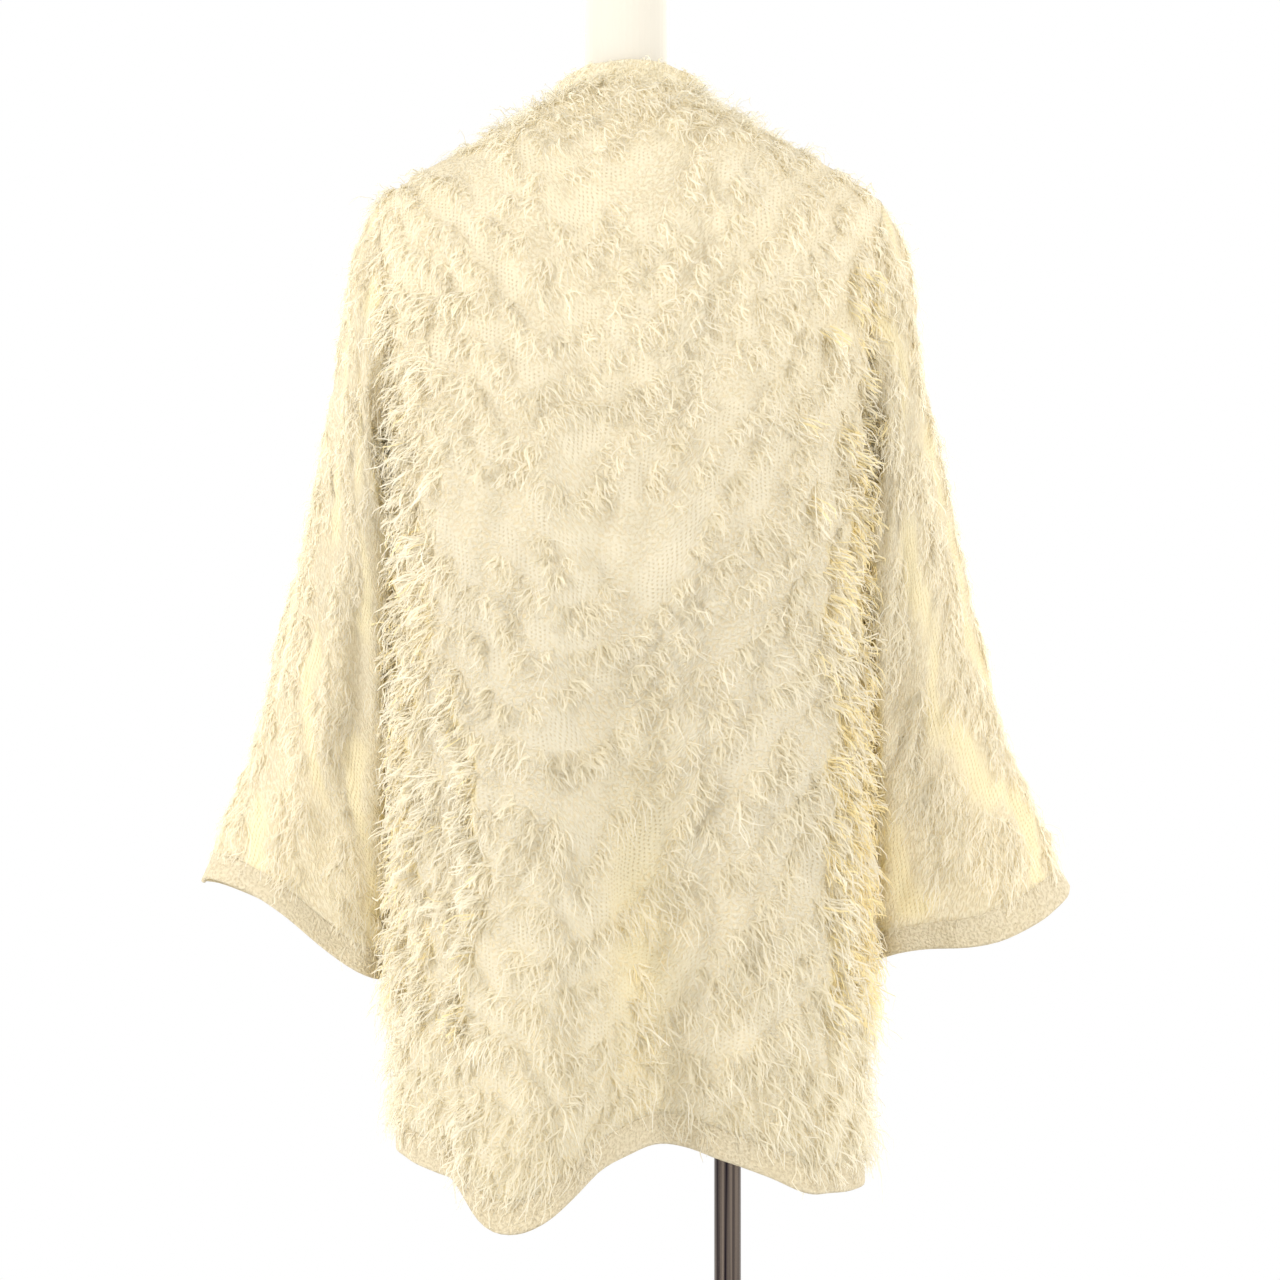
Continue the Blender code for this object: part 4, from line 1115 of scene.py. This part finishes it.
# neck band
line = [front_g[1][0, k] for k in range(S0)]
line += [back_g[0, j] for j in range(len(back_cols) - 1 - SHOULDER_COLS, SHOULDER_COLS - 1, -1)]
line += [front_g[-1][0, k] for k in range(S0 - 1, -1, -1)]
line = np.array(line)
lean = unit(-0.35 * unit(line * (1, 1, 0)) + np.array((0, 0, 1.0)))
neck = np.array([line + lean * NECK_BAND * t / BAND_COLS for t in range(BAND_COLS + 1)])
neck = lapped(neck, line - lean)
dress(strip("band_neck", neck, BAND_WALL, seed=4.0), NECK, "neck_band")
panel = Panel(neck[::-1], (0, -1, 0))
fringed("neck", panel, 9.0, BACK_LINES, 0.0085, 10, rng, lambda pos, n, p, q: np.ones(len(p)),
                              lambda pos: np.zeros(len(pos)), cover=(-1.0, -0.5), short=0.007, long=0.009,
                              flat=0.0013, full=0.0016, below=0.004)

# sleeves and cuffs
for side, word, table in ((1, "right", SLEEVE_RIGHT), (-1, "left", SLEEVE_LEFT)):
    rings = sleeve_rings(side, table)
    # beside the body the back of the sleeve hangs a little fuller
    turn = math.pi * np.arange(2 * ARM_ROWS) / ARM_ROWS
    fuller = np.exp(-((turn - 0.80 * math.pi) / 0.42) ** 2) * smooth(1.15 * math.pi, 1.0 * math.pi, turn)
    rings[2:, :, 1] -= 0.015 * fuller
    rings[2:, :, 0] -= side * 0.006 * fuller
    bow = np.exp(-((turn - 0.47 * math.pi) / (0.20 * math.pi)) ** 2)
    low = smooth(len(rings) - 6, len(rings) - 2, np.arange(len(rings)))
    rings[:, :, 2] -= side * 0.011 * low[:, None] * bow[None]
    cut = len(rings) - 1 - CUFF_ROWS
    panel = Panel(between(rings, 0, cut, SLEEVE_STEPS), (side, 0, 0), closed=True, q_top=0.09)
    girth = float(panel.p[:, -1].mean() + panel.p[:, 1].mean())
    # the pattern closes round the sleeve
    panel.p = np.broadcast_to(np.arange(panel.P.shape[1])[None] * (girth / panel.P.shape[1]),
                              panel.q.shape).copy()
    lines = Lines(78.0 * side, girth * math.sin(math.radians(78.0)) / 7, None, 0.62, 0.62)
    relief(panel, 6.0 + side, SLEEVE_CREASES, lines, ridge=0.0028)
    # Painted glow: yellow painted where the sleeve faces the body and on its plain knit patches, for light shining
    # through the sleeve.
    panel.warm = np.maximum(facing_gap(panel.P, panel.N, -side, 0.65, 0.95), 0.45 * (1.0 - panel.zone))
    # No painted shade on the sleeves.
    panel.shade = np.zeros_like(panel.shade)
    dress(shell("knit_sleeve_" + word, panel, WALL), KNIT,
                                   "sleeve_" + word)

    def clear_of_body(pos, normal, p, q, side=side):
        hidden = (normal[:, 0] * side < -0.90) & (pos[:, 2] < 1.06)
        return np.where(hidden, 0.20, 1.0)

    fringed("sleeve_" + word, panel, 6.0 + side, lines, 0.0120, 13, rng,
                                            clear_of_body, lambda pos: -np.sign(pos[:, 0]), lean=22 * side, cover=(0.9, 1.3), short=0.015,
                                            long=0.020, flat=0.0012, full=0.0018, below=0.004, painted_hem_shade=0.0)
    cuff = lapped(between(rings, cut, len(rings) - 1, CUFF_STEPS), between(rings, cut - 1, cut, SLEEVE_STEPS)[-2])
    dress(strip("band_cuff_" + word, cuff, BAND_WALL, closed=True, seed=7.0 + side),
                                 BAND, "cuff_band_" + word)

# ---------------------------------------------------------------- floor, light and camera
FLOOR_R = 1.9
bm = bmesh.new()
bmesh.ops.create_circle(bm, cap_ends=True, cap_tris=False, segments=96, radius=FLOOR_R)
floor_mesh = bpy.data.meshes.new("floor")
bm.to_mesh(floor_mesh)
bm.free()
floor = bpy.data.objects.new("floor", floor_mesh)
floor.location = (0.0, 0.0, -0.0004)
bpy.context.scene.collection.objects.link(floor)
m = Nodes("floor_paint")
grain = m.noise(object_coordinates(m, (1, 1, 1)), 60.0, 4.0)
m.set(Base_Color=m.mix(m.range(grain, 0.3, 0.7), (0.60, 0.60, 0.59), (0.64, 0.64, 0.63)), Roughness=0.7)
floor_mesh.materials.append(m.mat)

scene = bpy.context.scene
world = bpy.data.worlds.new("studio")
world.use_nodes = True
world.node_tree.nodes["Background"].inputs["Color"].default_value = (1.0, 1.0, 1.0, 1.0)
world.node_tree.nodes["Background"].inputs["Strength"].default_value = 1.0
scene.world = world
scene.cycles.max_bounces = 8
scene.cycles.diffuse_bounces = 5
scene.cycles.transmission_bounces = 6
scene.view_settings.view_transform = "Standard"
scene.view_settings.look = "None"


def soft_light(name, at_point, target, size, power, colour):
    data = bpy.data.lights.new(name, "AREA")
    data.shape = "DISK"
    data.size = size
    data.energy = power
    data.color = colour
    ob = bpy.data.objects.new(name, data)
    ob.location = at_point
    ob.rotation_euler = (Vector(target) - Vector(at_point)).to_track_quat("-Z", "Y").to_euler()
    ob.visible_camera = False
    scene.collection.objects.link(ob)
    return ob


soft_light("key", (-0.3, -1.7, 3.0), (0.0, 0.0, 1.05), 1.5, 5.0, (1.0, 0.985, 0.96))
soft_light("front", (-0.12, -2.6, 2.0), (0.0, 0.0, 1.25), 1.1, 9.0, (1.0, 0.985, 0.96))
soft_light("side_left", (-1.9, -1.1, 1.3), (-0.27, 0.0, 0.90), 1.2, 38.0, (1.0, 0.985, 0.96))
soft_light("side_right", (2.0, -1.1, 1.4), (0.27, 0.0, 0.95), 1.2, 31.0, (1.0, 0.985, 0.96))
soft_light("behind", (0.3, 2.4, 1.7), (0.0, 0.0, 0.95), 1.6, 24.0, (1.0, 0.985, 0.95))
soft_light("behind_left", (-1.5, 1.7, 1.1), (-0.28, 0.0, 0.85), 0.9, 20.0, (1.0, 0.985, 0.95))
soft_light("behind_right", (1.5, 1.7, 1.1), (0.28, 0.0, 0.85), 0.9, 24.0, (1.0, 0.985, 0.95))

SCALE = 0.00082          # metres for each pixel of the frame, at the jacket
DISTANCE = 2.8
CENTRE_X, CENTRE_Z = 0.0082, 0.925
cam_data = bpy.data.cameras.new("camera")
cam_data.sensor_width = 36.0
cam_data.lens = 36.0 * DISTANCE / (1280 * SCALE)
camera = bpy.data.objects.new("camera", cam_data)
camera.location = (CENTRE_X, -DISTANCE, CENTRE_Z)
camera.rotation_euler = (math.pi / 2, 0.0, 0.0)
scene.collection.objects.link(camera)
scene.camera = camera

for ob in scene.objects:
    if ob.type == "MESH" and not ob.hide_render:
        TRIANGLES[ob.name] = count(ob)
print("triangles", TRIANGLES, "added", sum(v for k, v in TRIANGLES.items()
                                           if k not in frame["nodes"] and k != "floor"))

bpy.context.view_layer.update()
